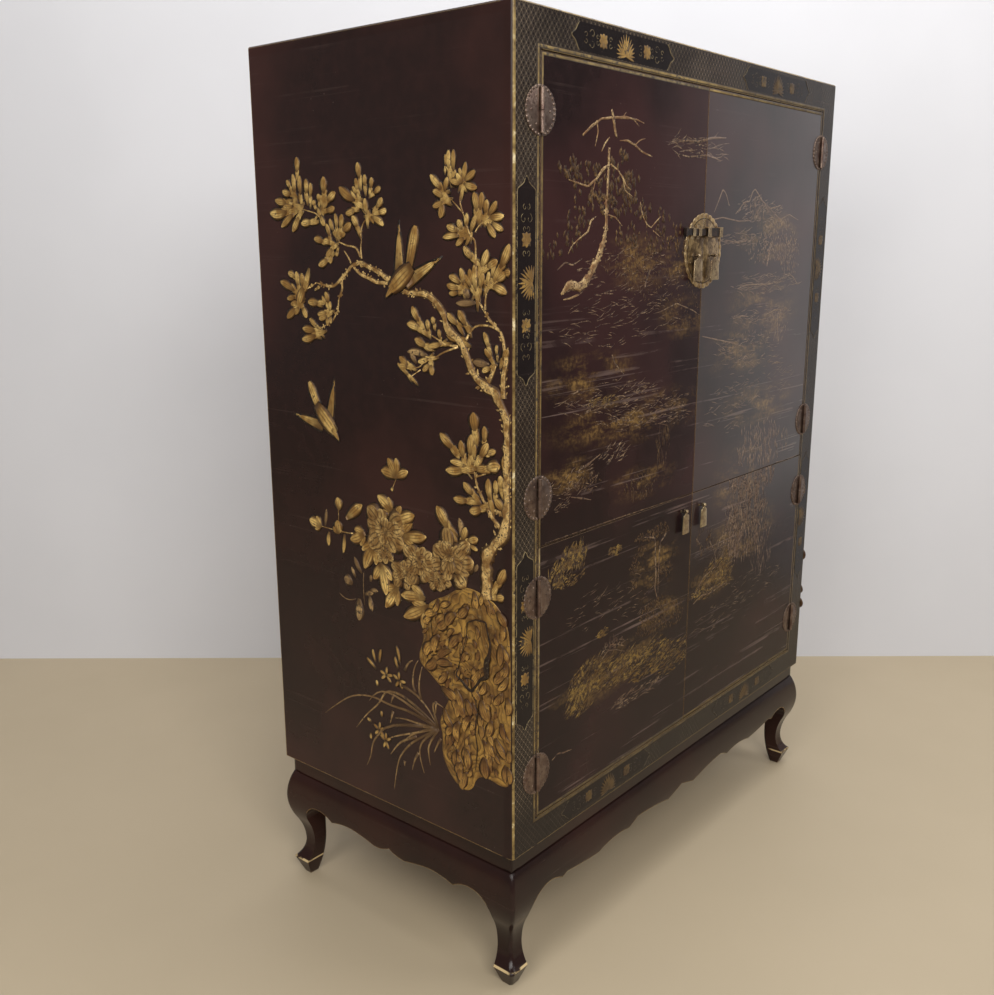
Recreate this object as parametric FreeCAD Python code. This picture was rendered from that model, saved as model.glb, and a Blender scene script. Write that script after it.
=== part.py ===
import FreeCAD, Part
import math
import os

# Chinoiserie cabinet on stand, in millimetres.
# Frame: +Z up from the floor, X across the width, the doors face -Y.
# The origin lies on the floor under the middle of the whole object's box.

V = FreeCAD.Vector

# ---- carcase ----
CABINET_WIDTH = 1350.0
CABINET_DEPTH = 715.0
CARCASE_HEIGHT = 1622.0
SIDE_THICKNESS = 20.0
TOP_THICKNESS = 20.0
FLOOR_THICKNESS = 20.0
PARTITION_THICKNESS = 20.0
SHELF_THICKNESS = 18.0
BACK_THICKNESS = 8.0
BACK_REBATE_WIDTH = 10.0
HOUSING_DEPTH = 8.0
CORNER_RADIUS = 8.0
TOP_EDGE_CHAMFER = 3.0

# ---- front frame ----
FRAME_THICKNESS = 22.0
STILE_WIDTH = 75.0
TOP_RAIL_HEIGHT = 52.0
BOTTOM_RAIL_HEIGHT = 64.0
FLOOR_LIP = 10.0
STOP_HEIGHT = 30.0
STOP_DEPTH = 20.0
STOP_OVERLAP = 12.0

# ---- doors ----
DOOR_SPLIT_HEIGHT = 645.0
DOOR_THICKNESS = 21.5
DOOR_GAP = 1.5
SEAM_GAP = 2.0
DOOR_EDGE_CHAMFER = 0.8

# ---- shelves ----
SHELF_SIDE_GAP = 1.0
SHELF_FRONT_SETBACK = 20.0
SHELF_BACK_GAP = 2.0
UPPER_SHELF_RISE = 440.0
LOWER_SHELF_RISE = 280.0
BEARER_HEIGHT = 18.0
BEARER_WIDTH = 18.0
BEARER_END_SETBACK = 25.0

# ---- stand ----
STAND_HEIGHT = 277.0
NECK_HEIGHT = 41.0
NECK_SET_IN = 13.0
NECK_THICKNESS = 30.0
MOULDING_SET_IN = 10.0
BELLY_PROJECTION = 5.0
BELLY_DROP = 65.0
APRON_THICKNESS = 45.0
APRON_DROP = 66.0
SCALLOP_DEPTH = 22.0
EAR_DROP = 111.0
EAR_HOLLOW = V(8.0, 0, 5.0)
POST_SIZE = 62.0
ANKLE_HEIGHT = 92.0
ANKLE_SET_IN = 25.0
TOE_HEIGHT = 42.0
TOE_SET_IN = 3.5
FOOT_SET_IN = 21.0
FOOT_SIZE = 24.0
CALF_HEIGHT = 110.0
ARRIS_CUT = 3.3
BLOCK_LEG = 65.0
BLOCK_HEIGHT = 40.0
BLOCK_TOP_SETBACK = 6.0

# ---- hinges ----
HINGE_DISC_RADIUS = 44.0
HINGE_PLATE_THICKNESS = 2.0
HINGE_END_INSET = 100.0
KNUCKLE_RADIUS = 4.5
KNUCKLE_LENGTH = 38.0
KNUCKLE_STANDOFF = 0.4
KNUCKLE_BEARING_GAP = 0.5
KNUCKLE_NOTCH = 5.0
HINGE_PIN_RADIUS = 1.75
HINGE_PIN_CLEARANCE = 0.05
SCALLOP_COUNT = 28
HINGE_LOBE_SIDES = 2
SCALLOP_BITE = 1.2

# ---- lock ----
LOCK_PLATE_RADIUS = 82.5
LOCK_PLATE_THICKNESS = 2.0
LOCK_PLATE_HEIGHT = 1203.0
LOCK_SCALLOP_BITE = 2.0
LOCK_LOBE_SIDES = 3
BOLT_RISE = 41.0
BOLT_LENGTH = 88.0
BOLT_HEIGHT = 14.0
BOLT_THICKNESS = 6.0
BOLT_TIP_SETBACK = 2.0
BOLT_HEAD_LENGTH = 7.0
BOLT_HEAD_HEIGHT = 20.0
BOLT_CLEARANCE = 0.3
BOLT_TRAVEL = 22.0
GUIDE_WALL = 1.6
GUIDE_LENGTH = 11.0
GUIDE_FOOT = 6.0
GUIDE_INNER_DISTANCE = 24.0
RECEIVER_LENGTH = 66.0
RECEIVER_WALL = 1.8
RECEIVER_CLEARANCE = 0.6
RECEIVER_STRAP_LENGTH = 14.0

# ---- hanging pulls ----
LOCK_PULL_DISTANCE = 38.0
LOCK_PULL_DROP = 10.0
DOOR_PULL_DISTANCE = 42.0
DOOR_PULL_DROP = 35.0
STAPLE_BAR = 2.8
STAPLE_WIDTH = 20.0
STAPLE_STANDOFF = 9.5
STAPLE_ROOT_DEPTH = 12.0
STAPLE_HOLE_CLEARANCE = 0.1
STAPLE_BEND_CHAMFER = 1.4
PULL_LENGTH = 54.0
LOCK_PULL_WIDTH = 38.0
DOOR_PULL_WIDTH = 29.0
PULL_SHOULDER_INSET = 2.5
PULL_SHOULDER_DROP = 11.5
PULL_NECK_WIDTH = 8.0
PULL_NECK_DROP = 6.0
PULL_THICKNESS = 3.0
PULL_EYE_RADIUS = 4.3
PULL_EYE_BORE_RADIUS = 2.3
PULL_CORNER_CUT = 2.0

# ---- places worked out from the sizes ----
PULL_PROJECTION = LOCK_PLATE_THICKNESS + STAPLE_STANDOFF + PULL_EYE_RADIUS
HALF_WIDTH = CABINET_WIDTH / 2
FRONT_Y = (PULL_PROJECTION - BELLY_PROJECTION - CABINET_DEPTH) / 2
BACK_Y = FRONT_Y + CABINET_DEPTH
MIDDLE_Y = (FRONT_Y + BACK_Y) / 2
CARCASE_BOTTOM = STAND_HEIGHT + NECK_HEIGHT
CARCASE_TOP = CARCASE_BOTTOM + CARCASE_HEIGHT
SIDE_TOP = CARCASE_TOP - TOP_THICKNESS
FRAME_BACK_Y = FRONT_Y + FRAME_THICKNESS
BACK_PANEL_Y = BACK_Y - BACK_THICKNESS
INNER_HALF_WIDTH = HALF_WIDTH - SIDE_THICKNESS
OPENING_HALF_WIDTH = HALF_WIDTH - STILE_WIDTH
OPENING_BOTTOM = CARCASE_BOTTOM + BOTTOM_RAIL_HEIGHT
OPENING_TOP = SIDE_TOP - TOP_RAIL_HEIGHT
SPLIT_Z = CARCASE_BOTTOM + DOOR_SPLIT_HEIGHT
FLOOR_TOP = OPENING_BOTTOM + FLOOR_LIP
PARTITION_TOP = SPLIT_Z + PARTITION_THICKNESS / 2
DOOR_BACK_Y = FRONT_Y + DOOR_THICKNESS
DOOR_OUTER_X = OPENING_HALF_WIDTH - DOOR_GAP
DOOR_INNER_X = SEAM_GAP / 2
HINGE_AXIS_X = OPENING_HALF_WIDTH - DOOR_GAP / 2
HINGE_AXIS_Y = FRONT_Y - KNUCKLE_STANDOFF - KNUCKLE_RADIUS
LOCK_Z = CARCASE_BOTTOM + LOCK_PLATE_HEIGHT
BOLT_Z = LOCK_Z + BOLT_RISE
LOCK_FACE_Y = FRONT_Y - LOCK_PLATE_THICKNESS
UPPER_DOOR = (SPLIT_Z + DOOR_GAP / 2, OPENING_TOP - DOOR_GAP)
LOWER_DOOR = (OPENING_BOTTOM + DOOR_GAP, SPLIT_Z - DOOR_GAP / 2)
UPPER_SHELF_Z = PARTITION_TOP + UPPER_SHELF_RISE
LOWER_SHELF_Z = FLOOR_TOP + LOWER_SHELF_RISE
APRON_EDGE_Z = STAND_HEIGHT - APRON_DROP
EAR_Z = STAND_HEIGHT - EAR_DROP
BELLY_Z = STAND_HEIGHT - BELLY_DROP
CUT_MARGIN = 10.0
LEFT, RIGHT = -1, 1
SIDE_NAMES = {LEFT: "left", RIGHT: "right"}


# ---- small builders ----

def box(x, y, z):
    """A block between two limits on each axis."""
    return Part.makeBox(x[1] - x[0], y[1] - y[0], z[1] - z[0], V(x[0], y[0], z[0]))


def span(side, near, far):
    """The X limits of a stretch measured from the middle on one side."""
    return (near, far) if side == RIGHT else (-far, -near)


def rod(radius, start, direction, length):
    return Part.makeCylinder(radius, length, start, direction)


def extruded(edges, direction):
    return Part.Face(Part.Wire(edges)).extrude(direction)


def line(a, b):
    return Part.LineSegment(a, b).toShape()


def arc(a, middle, b):
    return Part.Arc(a, middle, b).toShape()


def edges_where(shape, test):
    return [edge for edge in shape.Edges if test(edge)]


def is_vertical(edge):
    first, last = edge.Vertexes[0].Point, edge.Vertexes[-1].Point
    return abs(first.x - last.x) + abs(first.y - last.y) < 1e-6 and abs(first.z - last.z) > 1.0


def mirrored_x(shape):
    return shape.mirror(V(0, 0, 0), V(1, 0, 0))


def on_side(shape, side):
    """A shape built on the right-hand side, or its mirror image on the left."""
    return shape if side == RIGHT else mirrored_x(shape)


def group(shapes):
    return Part.makeCompound(shapes)


# ---- carcase ----

def side_panel(side):
    """Lacquered board with a back rebate and stopped housings for the two fixed boards."""
    panel = box((INNER_HALF_WIDTH, HALF_WIDTH), (FRAME_BACK_Y, BACK_Y), (CARCASE_BOTTOM, SIDE_TOP))
    rebate = box((INNER_HALF_WIDTH, INNER_HALF_WIDTH + BACK_REBATE_WIDTH), (BACK_PANEL_Y, BACK_Y),
                 (CARCASE_BOTTOM, SIDE_TOP))
    panel = panel.cut(rebate)
    for top, thickness in ((FLOOR_TOP, FLOOR_THICKNESS), (PARTITION_TOP, PARTITION_THICKNESS)):
        housing = box((INNER_HALF_WIDTH, INNER_HALF_WIDTH + HOUSING_DEPTH),
                      (FRAME_BACK_Y, BACK_PANEL_Y), (top - thickness, top))
        panel = panel.cut(housing)
    return on_side(panel, side)


def housed_board(top, thickness):
    """A fixed board let into both sides; its front edge also stops the doors."""
    reach = INNER_HALF_WIDTH + HOUSING_DEPTH
    return box((-reach, reach), (FRAME_BACK_Y, BACK_PANEL_Y), (top - thickness, top))


def top_board():
    board = box((-HALF_WIDTH, HALF_WIDTH), (FRONT_Y, BACK_Y), (SIDE_TOP, CARCASE_TOP))
    corners = edges_where(board, lambda e: is_vertical(e) and e.CenterOfMass.y < MIDDLE_Y)
    board = board.makeFillet(CORNER_RADIUS, corners)
    upper = edges_where(board, lambda e: e.BoundBox.ZMin > CARCASE_TOP - 0.01
                        and e.CenterOfMass.y < BACK_Y - 1.0)
    return board.makeChamfer(TOP_EDGE_CHAMFER, upper)


def back_panel():
    reach = INNER_HALF_WIDTH + BACK_REBATE_WIDTH
    return box((-reach, reach), (BACK_PANEL_Y, BACK_Y), (CARCASE_BOTTOM, SIDE_TOP))


def shelf(underside):
    reach = INNER_HALF_WIDTH - SHELF_SIDE_GAP
    return box((-reach, reach), (FRAME_BACK_Y + SHELF_FRONT_SETBACK, BACK_PANEL_Y - SHELF_BACK_GAP),
               (underside, underside + SHELF_THICKNESS))


def shelf_bearers():
    bearers = []
    for top in (UPPER_SHELF_Z, LOWER_SHELF_Z):
        for side in (LEFT, RIGHT):
            across = span(side, INNER_HALF_WIDTH - BEARER_WIDTH, INNER_HALF_WIDTH)
            along = (FRAME_BACK_Y + SHELF_FRONT_SETBACK + BEARER_END_SETBACK,
                     BACK_PANEL_Y - SHELF_BACK_GAP - BEARER_END_SETBACK)
            bearers.append(box(across, along, (top - BEARER_HEIGHT, top)))
    return group(bearers)


def front_stile(side):
    """Upright of the front frame, rounded on the cabinet's outer corner."""
    stile = box((OPENING_HALF_WIDTH, HALF_WIDTH), (FRONT_Y, FRAME_BACK_Y), (CARCASE_BOTTOM, SIDE_TOP))
    corner = edges_where(stile, lambda e: is_vertical(e) and e.CenterOfMass.y < FRONT_Y + 0.01
                         and e.CenterOfMass.x > HALF_WIDTH - 0.01)
    return on_side(stile.makeFillet(CORNER_RADIUS, corner), side)


def front_rail(bottom, top):
    return box((-OPENING_HALF_WIDTH, OPENING_HALF_WIDTH), (FRONT_Y, FRAME_BACK_Y), (bottom, top))


def door_stop_top():
    low = OPENING_TOP - STOP_OVERLAP
    return box((-OPENING_HALF_WIDTH, OPENING_HALF_WIDTH), (FRAME_BACK_Y, FRAME_BACK_Y + STOP_DEPTH),
               (low, low + STOP_HEIGHT))


# ---- stand ----

def arc_from_upright(start, end):
    """Arc in the plane of set-in and height that leaves its start upright and passes its end."""
    across, down = end.x - start.x, end.z - start.z
    radius = (across * across + down * down) / (2 * across)
    half_turn = math.asin(down / radius) / 2
    middle = start + V(radius * (1 - math.cos(half_turn)), 0, radius * math.sin(half_turn))
    return [start, middle, end]


def outer_arcs():
    """Face of legs and aprons as three-point arcs: moulding, knee, ankle, turned-up toe."""
    moulding_top = V(MOULDING_SET_IN, 0, STAND_HEIGHT)
    belly = V(-BELLY_PROJECTION, 0, BELLY_Z)
    ankle = V(ANKLE_SET_IN, 0, ANKLE_HEIGHT)
    turning = (belly + ankle) * 0.5
    toe = V(TOE_SET_IN, 0, TOE_HEIGHT)
    return [arc_from_upright(belly, moulding_top)[::-1], arc_from_upright(belly, turning),
            arc_from_upright(ankle, turning)[::-1], arc_from_upright(ankle, toe)]


def arc_edges(arcs):
    return [arc(*points) for points in arcs]


def leg_profile():
    """Closed outline of one leg seen square on, in the plane of set-in and height."""
    toe = V(TOE_SET_IN, 0, TOE_HEIGHT)
    foot_outer = V(FOOT_SET_IN, 0, 0)
    foot_inner = V(FOOT_SET_IN + FOOT_SIZE, 0, 0)
    calf = V(POST_SIZE, 0, CALF_HEIGHT)
    post_top = V(POST_SIZE, 0, STAND_HEIGHT)
    return arc_edges(outer_arcs()) + [line(toe, foot_outer), line(foot_outer, foot_inner)] + arc_edges(
        [arc_from_upright(calf, foot_inner)[::-1]]) + [
        line(calf, post_top), line(post_top, V(MOULDING_SET_IN, 0, STAND_HEIGHT))]


def arris_profile():
    """Outline on the leg's diagonal, set back so that the sharp corner comes off evenly."""
    def on_diagonal(point):
        return V(point.x * math.sqrt(2) + ARRIS_CUT, 0, point.z)

    arcs = [[on_diagonal(point) for point in points] for points in outer_arcs()]
    top = arcs[0][0]
    toe = arcs[-1][-1]
    foot = on_diagonal(V(FOOT_SET_IN, 0, 0))
    far_low = V(2 * POST_SIZE, 0, 0)
    far_top = V(2 * POST_SIZE, 0, STAND_HEIGHT)
    return arc_edges(arcs) + [line(toe, foot), line(foot, far_low), line(far_low, far_top), line(far_top, top)]


def corner_leg():
    """Leg cut from both sides out of one square block; its corner is the local origin."""
    reach = POST_SIZE + CUT_MARGIN
    seen_from_front = extruded(leg_profile(), V(0, reach, 0))
    seen_from_front.translate(V(0, -CUT_MARGIN, 0))
    seen_from_side = seen_from_front.copy()
    seen_from_side.rotate(V(0, 0, 0), V(0, 0, 1), 90)
    seen_from_side = seen_from_side.mirror(V(0, 0, 0), V(1, 0, 0))
    along_diagonal = extruded(arris_profile(), V(0, 2 * reach, 0))
    along_diagonal.translate(V(0, -reach, 0))
    along_diagonal.rotate(V(0, 0, 0), V(0, 0, 1), 45)
    return seen_from_front.common(seen_from_side).common(along_diagonal)


def leg(side, at_back):
    """The corner leg set at one corner of the carcase."""
    shape = corner_leg()
    shape.translate(V(-HALF_WIDTH, FRONT_Y, 0))
    if at_back:
        shape = shape.mirror(V(0, MIDDLE_Y, 0), V(0, 1, 0))
    return mirrored_x(shape) if side == RIGHT else shape


def scallop_edges(half_length, stations):
    """Lower edge of an apron: arcs through (share of half length, share of scallop depth)."""
    def point(station):
        share, drop = station
        return V(share * half_length, 0, APRON_EDGE_Z - drop * SCALLOP_DEPTH)

    edges = []
    start = point(stations[0])
    for middle, end in stations[1:]:
        finish = point(end)
        edges.append(arc(start, point(middle), finish) if middle else line(start, finish))
        start = finish
    ear_foot = V(half_length, 0, EAR_Z)
    ear_middle = (start + ear_foot) * 0.5 + EAR_HOLLOW
    edges.append(arc(start, ear_middle, ear_foot))
    return edges


FRONT_SCALLOPS = [(0.0, 0.15),
                  ((0.06, 0.65), (0.10, 1.0)),
                  ((0.20, 0.45), (0.335, 0.1)),
                  (None, (0.395, 0.75)),
                  ((0.49, 0.45), (0.60, 0.95)),
                  ((0.69, 0.72), (0.80, 0.3)),
                  (None, (0.83, 0.6)),
                  ((0.88, 0.0), (0.93, 0.0))]
SIDE_SCALLOPS = [(0.0, 0.25),
                 ((0.09, 0.75), (0.17, 0.85)),
                 ((0.29, 0.45), (0.43, 0.2)),
                 ((0.56, 0.35), (0.66, 0.7)),
                 ((0.75, 0.1), (0.87, 0.05))]


def apron(length, stations):
    """Shaped rail between two legs: rounded face, scalloped lower edge, centred on X."""
    half_length = length / 2
    right = scallop_edges(half_length, stations)
    left = [edge.mirror(V(0, 0, 0), V(1, 0, 0)) for edge in right]
    above = STAND_HEIGHT + CUT_MARGIN
    ends = [line(V(side * half_length, 0, EAR_Z), V(side * half_length, 0, above))
            for side in (LEFT, RIGHT)]
    top = line(V(-half_length, 0, above), V(half_length, 0, above))
    outline = Part.Wire(Part.sortEdges(right + left + ends + [top])[0])
    elevation = Part.Face(outline).extrude(V(0, APRON_THICKNESS + 2 * CUT_MARGIN, 0))
    elevation.translate(V(0, -CUT_MARGIN, 0))
    inner_top = V(APRON_THICKNESS, 0, STAND_HEIGHT)
    toe = V(TOE_SET_IN, 0, TOE_HEIGHT)
    inner_low = V(APRON_THICKNESS, 0, TOE_HEIGHT)
    section = Part.Face(Part.Wire(arc_edges(outer_arcs()) + [
        line(toe, inner_low), line(inner_low, inner_top),
        line(inner_top, V(MOULDING_SET_IN, 0, STAND_HEIGHT))]))
    section.rotate(V(0, 0, 0), V(0, 0, 1), 90)
    moulded = section.extrude(V(length + 2 * CUT_MARGIN, 0, 0))
    moulded.translate(V(-half_length - CUT_MARGIN, 0, 0))
    return moulded.common(elevation)


def front_apron():
    shape = apron(CABINET_WIDTH - 2 * POST_SIZE, FRONT_SCALLOPS)
    shape.translate(V(0, FRONT_Y, 0))
    return shape


def back_apron():
    return front_apron().mirror(V(0, MIDDLE_Y, 0), V(0, 1, 0))


def side_apron(side):
    shape = apron(CABINET_DEPTH - 2 * POST_SIZE, SIDE_SCALLOPS)
    shape.rotate(V(0, 0, 0), V(0, 0, 1), -90)
    shape.translate(V(-HALF_WIDTH, MIDDLE_Y, 0))
    return mirrored_x(shape) if side == RIGHT else shape


def neck_rail_long(at_back):
    reach = HALF_WIDTH - NECK_SET_IN
    near = FRONT_Y + NECK_SET_IN
    rail = box((-reach, reach), (near, near + NECK_THICKNESS), (STAND_HEIGHT, CARCASE_BOTTOM))
    return rail.mirror(V(0, MIDDLE_Y, 0), V(0, 1, 0)) if at_back else rail


def neck_rail_side(side):
    inner = HALF_WIDTH - NECK_SET_IN - NECK_THICKNESS
    end_set_in = NECK_SET_IN + NECK_THICKNESS
    return box(span(side, inner, inner + NECK_THICKNESS), (FRONT_Y + end_set_in, BACK_Y - end_set_in),
               (STAND_HEIGHT, CARCASE_BOTTOM))


def corner_blocks():
    """Glue blocks that tie each leg post to its two aprons."""
    inner = APRON_THICKNESS
    outer = POST_SIZE + BLOCK_LEG
    top = STAND_HEIGHT - BLOCK_TOP_SETBACK
    corners = [V(POST_SIZE, inner, top), V(outer, inner, top), V(inner, outer, top),
               V(inner, POST_SIZE, top), V(POST_SIZE, POST_SIZE, top)]
    outline = Part.makePolygon(corners + corners[:1])
    blocks = []
    for side in (LEFT, RIGHT):
        for at_back in (False, True):
            block = Part.Face(outline).extrude(V(0, 0, -BLOCK_HEIGHT))
            block.translate(V(-HALF_WIDTH, FRONT_Y, 0))
            if at_back:
                block = block.mirror(V(0, MIDDLE_Y, 0), V(0, 1, 0))
            blocks.append(mirrored_x(block) if side == RIGHT else block)
    return group(blocks)


# ---- hinges ----

def scalloped_half_disc(radius, bite, lobe_sides, thickness, inner_edge):
    """Half of a scallop-edged plate on its +X side, lying in the XZ plane, front at -Y."""
    steps = SCALLOP_COUNT // 2 * lobe_sides

    def rim(step):
        angle = math.pi * step / steps
        r = radius - (bite if step % lobe_sides == 0 else 0)
        return V(r * math.sin(angle), 0, r * math.cos(angle))

    outline = [rim(step) for step in range(steps + 1)]
    plate = Part.Face(Part.makePolygon(outline + outline[:1])).extrude(V(0, -thickness, 0))
    margin = radius + bite
    return plate.cut(box((-bite, inner_edge), (-margin, margin), (-margin, margin)))


def hinge_leaf(knuckle_above):
    """Leaf on the +X side of the pin: half disc, one knuckle, room for the other knuckle."""
    plate = scalloped_half_disc(HINGE_DISC_RADIUS, SCALLOP_BITE, HINGE_LOBE_SIDES, HINGE_PLATE_THICKNESS,
                                DOOR_GAP / 2)
    half_gap = KNUCKLE_BEARING_GAP / 2
    direction = 1 if knuckle_above else -1
    far = HINGE_DISC_RADIUS + SCALLOP_BITE
    notch = box((-KNUCKLE_NOTCH, KNUCKLE_NOTCH), (-far, far),
                (-far, half_gap) if knuckle_above else (-half_gap, far))
    plate = plate.cut(notch)
    axis = V(0, -KNUCKLE_STANDOFF - KNUCKLE_RADIUS, 0)
    start = axis + V(0, 0, direction * half_gap)
    along = V(0, 0, direction)
    knuckle = rod(KNUCKLE_RADIUS, start, along, KNUCKLE_LENGTH)
    bore = rod(HINGE_PIN_RADIUS + HINGE_PIN_CLEARANCE, axis - along * far, along, 2 * far)
    return plate.fuse(knuckle).removeSplitter().cut(bore)


def hinge_heights(door):
    bottom, top = door
    return (bottom + HINGE_END_INSET, top - HINGE_END_INSET)


def hinge_leaves(side, door, on_door):
    """Both leaves of one kind for one door; frame leaves lie outside the pin, door leaves inside."""
    leaves = []
    for height in hinge_heights(door):
        leaf = hinge_leaf(knuckle_above=on_door)
        if on_door:
            leaf = mirrored_x(leaf)
        leaf.translate(V(HINGE_AXIS_X, FRONT_Y, height))
        leaves.append(on_side(leaf, side))
    return group(leaves)


def hinge_pins():
    """Plain pins as long as the two knuckles they run through."""
    half = KNUCKLE_BEARING_GAP / 2 + KNUCKLE_LENGTH
    return group([rod(HINGE_PIN_RADIUS, V(side * HINGE_AXIS_X, HINGE_AXIS_Y, height - half), V(0, 0, 1), 2 * half)
                  for side in (LEFT, RIGHT)
                  for door in (UPPER_DOOR, LOWER_DOOR)
                  for height in hinge_heights(door)])


# ---- doors ----

def staple_place(side, door):
    """Middle of a staple's cross bar: distance out from the seam, face it stands on, height."""
    if door is UPPER_DOOR:
        return side * LOCK_PULL_DISTANCE, LOCK_FACE_Y, LOCK_Z - LOCK_PULL_DROP
    return side * DOOR_PULL_DISTANCE, FRONT_Y, SPLIT_Z - DOOR_PULL_DROP


def staple_holes(side, door):
    """The two square holes that a staple's ends are driven into, through plate and leaf."""
    x, face_y, z = staple_place(side, door)
    half = STAPLE_BAR / 2 + STAPLE_HOLE_CLEARANCE
    centre = (STAPLE_WIDTH - STAPLE_BAR) / 2
    along = (face_y - CUT_MARGIN, FRONT_Y + STAPLE_ROOT_DEPTH + STAPLE_HOLE_CLEARANCE)
    holes = [box((x + offset - half, x + offset + half), along, (z - half, z + half))
             for offset in (-centre, centre)]
    return group(holes)


def door_leaf(side, door):
    """Flush lacquered board between hinge gap and middle seam, drilled for its staple."""
    bottom, top = door
    board = box((DOOR_INNER_X, DOOR_OUTER_X), (FRONT_Y, DOOR_BACK_Y), (bottom, top))
    front_edges = edges_where(board, lambda e: e.BoundBox.YMax < FRONT_Y + 0.01)
    board = on_side(board.makeChamfer(DOOR_EDGE_CHAMFER, front_edges), side)
    return board.cut(staple_holes(side, door))


def lock_plate(side):
    """Half of the round plate that is split along the seam between the upper doors."""
    plate = scalloped_half_disc(LOCK_PLATE_RADIUS, LOCK_SCALLOP_BITE, LOCK_LOBE_SIDES, LOCK_PLATE_THICKNESS,
                                DOOR_INNER_X)
    plate.translate(V(0, FRONT_Y, LOCK_Z))
    return on_side(plate, side).cut(staple_holes(side, UPPER_DOOR))


def staple(side, door):
    """Staple bent from square bar: two roots driven into the door and a bar for the pull's eye."""
    x, face_y, z = staple_place(side, door)
    half = STAPLE_WIDTH / 2
    front = -STAPLE_STANDOFF - STAPLE_BAR / 2
    root_y = FRONT_Y + STAPLE_ROOT_DEPTH - face_y
    outer = box((-half, half), (front, root_y), (-STAPLE_BAR / 2, STAPLE_BAR / 2))
    gap = box((-half + STAPLE_BAR, half - STAPLE_BAR), (front + STAPLE_BAR, root_y + CUT_MARGIN),
              (-STAPLE_BAR, STAPLE_BAR))
    shape = outer.cut(gap)
    bends = edges_where(shape, lambda e: e.CenterOfMass.y < front + 0.01 and abs(e.CenterOfMass.x) > half - 0.01)
    shape = shape.makeChamfer(STAPLE_BEND_CHAMFER, bends)
    shape.translate(V(x, face_y, z))
    return shape


def pull(side, door):
    """Flat plaque hanging from an eye round the staple's cross bar."""
    x, face_y, z = staple_place(side, door)
    width = LOCK_PULL_WIDTH if door is UPPER_DOOR else DOOR_PULL_WIDTH
    neck = PULL_NECK_WIDTH / 2
    foot = width / 2
    shoulder = foot - PULL_SHOULDER_INSET
    corner = PULL_CORNER_CUT
    slope = (foot - shoulder) * corner / (PULL_LENGTH - PULL_SHOULDER_DROP)
    right = [line(V(neck, 0, 0), V(neck, 0, -PULL_NECK_DROP)),
             arc(V(neck, 0, -PULL_NECK_DROP),
                 V(neck + (shoulder - neck) * 0.45, 0,
                   -PULL_NECK_DROP - (PULL_SHOULDER_DROP - PULL_NECK_DROP) * 0.3),
                 V(shoulder, 0, -PULL_SHOULDER_DROP)),
             line(V(shoulder, 0, -PULL_SHOULDER_DROP), V(foot - slope, 0, -PULL_LENGTH + corner)),
             line(V(foot - slope, 0, -PULL_LENGTH + corner), V(foot - corner, 0, -PULL_LENGTH))]
    left = [edge.mirror(V(0, 0, 0), V(1, 0, 0)) for edge in right]
    ends = [line(V(-neck, 0, 0), V(neck, 0, 0)),
            line(V(-foot + corner, 0, -PULL_LENGTH), V(foot - corner, 0, -PULL_LENGTH))]
    outline = Part.Wire(Part.sortEdges(right + left + ends)[0])
    plaque = Part.Face(outline).extrude(V(0, PULL_THICKNESS, 0))
    plaque.translate(V(0, -PULL_THICKNESS / 2, 0))
    eye = rod(PULL_EYE_RADIUS, V(-neck, 0, 0), V(1, 0, 0), PULL_NECK_WIDTH)
    bore = rod(PULL_EYE_BORE_RADIUS, V(-foot, 0, 0), V(1, 0, 0), width)
    shape = plaque.fuse(eye).removeSplitter().cut(bore)
    shape.translate(V(x, face_y - STAPLE_STANDOFF, z))
    return shape


# ---- lock bolt ----

def around_bolt(x, wall, clearance):
    """A closed strap or tube section round the bolt, sitting on the lock plate."""
    half = BOLT_HEIGHT / 2 + clearance
    front = LOCK_FACE_Y - BOLT_THICKNESS - 2 * clearance
    outer = box(x, (front - wall, LOCK_FACE_Y), (BOLT_Z - half - wall, BOLT_Z + half + wall))
    inner = box((x[0] - 1, x[1] + 1), (front, LOCK_FACE_Y), (BOLT_Z - half, BOLT_Z + half))
    return outer.cut(inner)


def strap(x, wall, clearance):
    """A bridge over the bolt with a riveting foot above and below."""
    bridge = around_bolt(x, wall, clearance)
    half = BOLT_HEIGHT / 2 + clearance + wall
    feet = [box(x, (LOCK_FACE_Y - wall, LOCK_FACE_Y), z)
            for z in ((BOLT_Z - half - GUIDE_FOOT, BOLT_Z - half), (BOLT_Z + half, BOLT_Z + half + GUIDE_FOOT))]
    return bridge.fuse(feet).removeSplitter()


def lock_bolt():
    """Flat bolt with a raised thumb head, drawn back so that its tip stops at the seam."""
    tip = -BOLT_TIP_SETBACK
    back = LOCK_FACE_Y - BOLT_CLEARANCE
    bar = box((tip - BOLT_LENGTH, tip), (back - BOLT_THICKNESS, back),
              (BOLT_Z - BOLT_HEIGHT / 2, BOLT_Z + BOLT_HEIGHT / 2))
    head = box((tip - BOLT_LENGTH, tip - BOLT_LENGTH + BOLT_HEAD_LENGTH),
               (back - BOLT_THICKNESS - GUIDE_WALL, back),
               (BOLT_Z - BOLT_HEAD_HEIGHT / 2, BOLT_Z + BOLT_HEAD_HEIGHT / 2))
    return bar.fuse(head).removeSplitter()


def guide_starts():
    """Inner ends of the two guides: one by the seam, one where the thumb head stops."""
    outer = BOLT_TIP_SETBACK + BOLT_LENGTH - BOLT_HEAD_LENGTH - BOLT_TRAVEL - BOLT_CLEARANCE - GUIDE_LENGTH
    return (GUIDE_INNER_DISTANCE, outer)


def bolt_guides():
    return group([strap((-start - GUIDE_LENGTH, -start), GUIDE_WALL, BOLT_CLEARANCE)
                  for start in guide_starts()])


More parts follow.
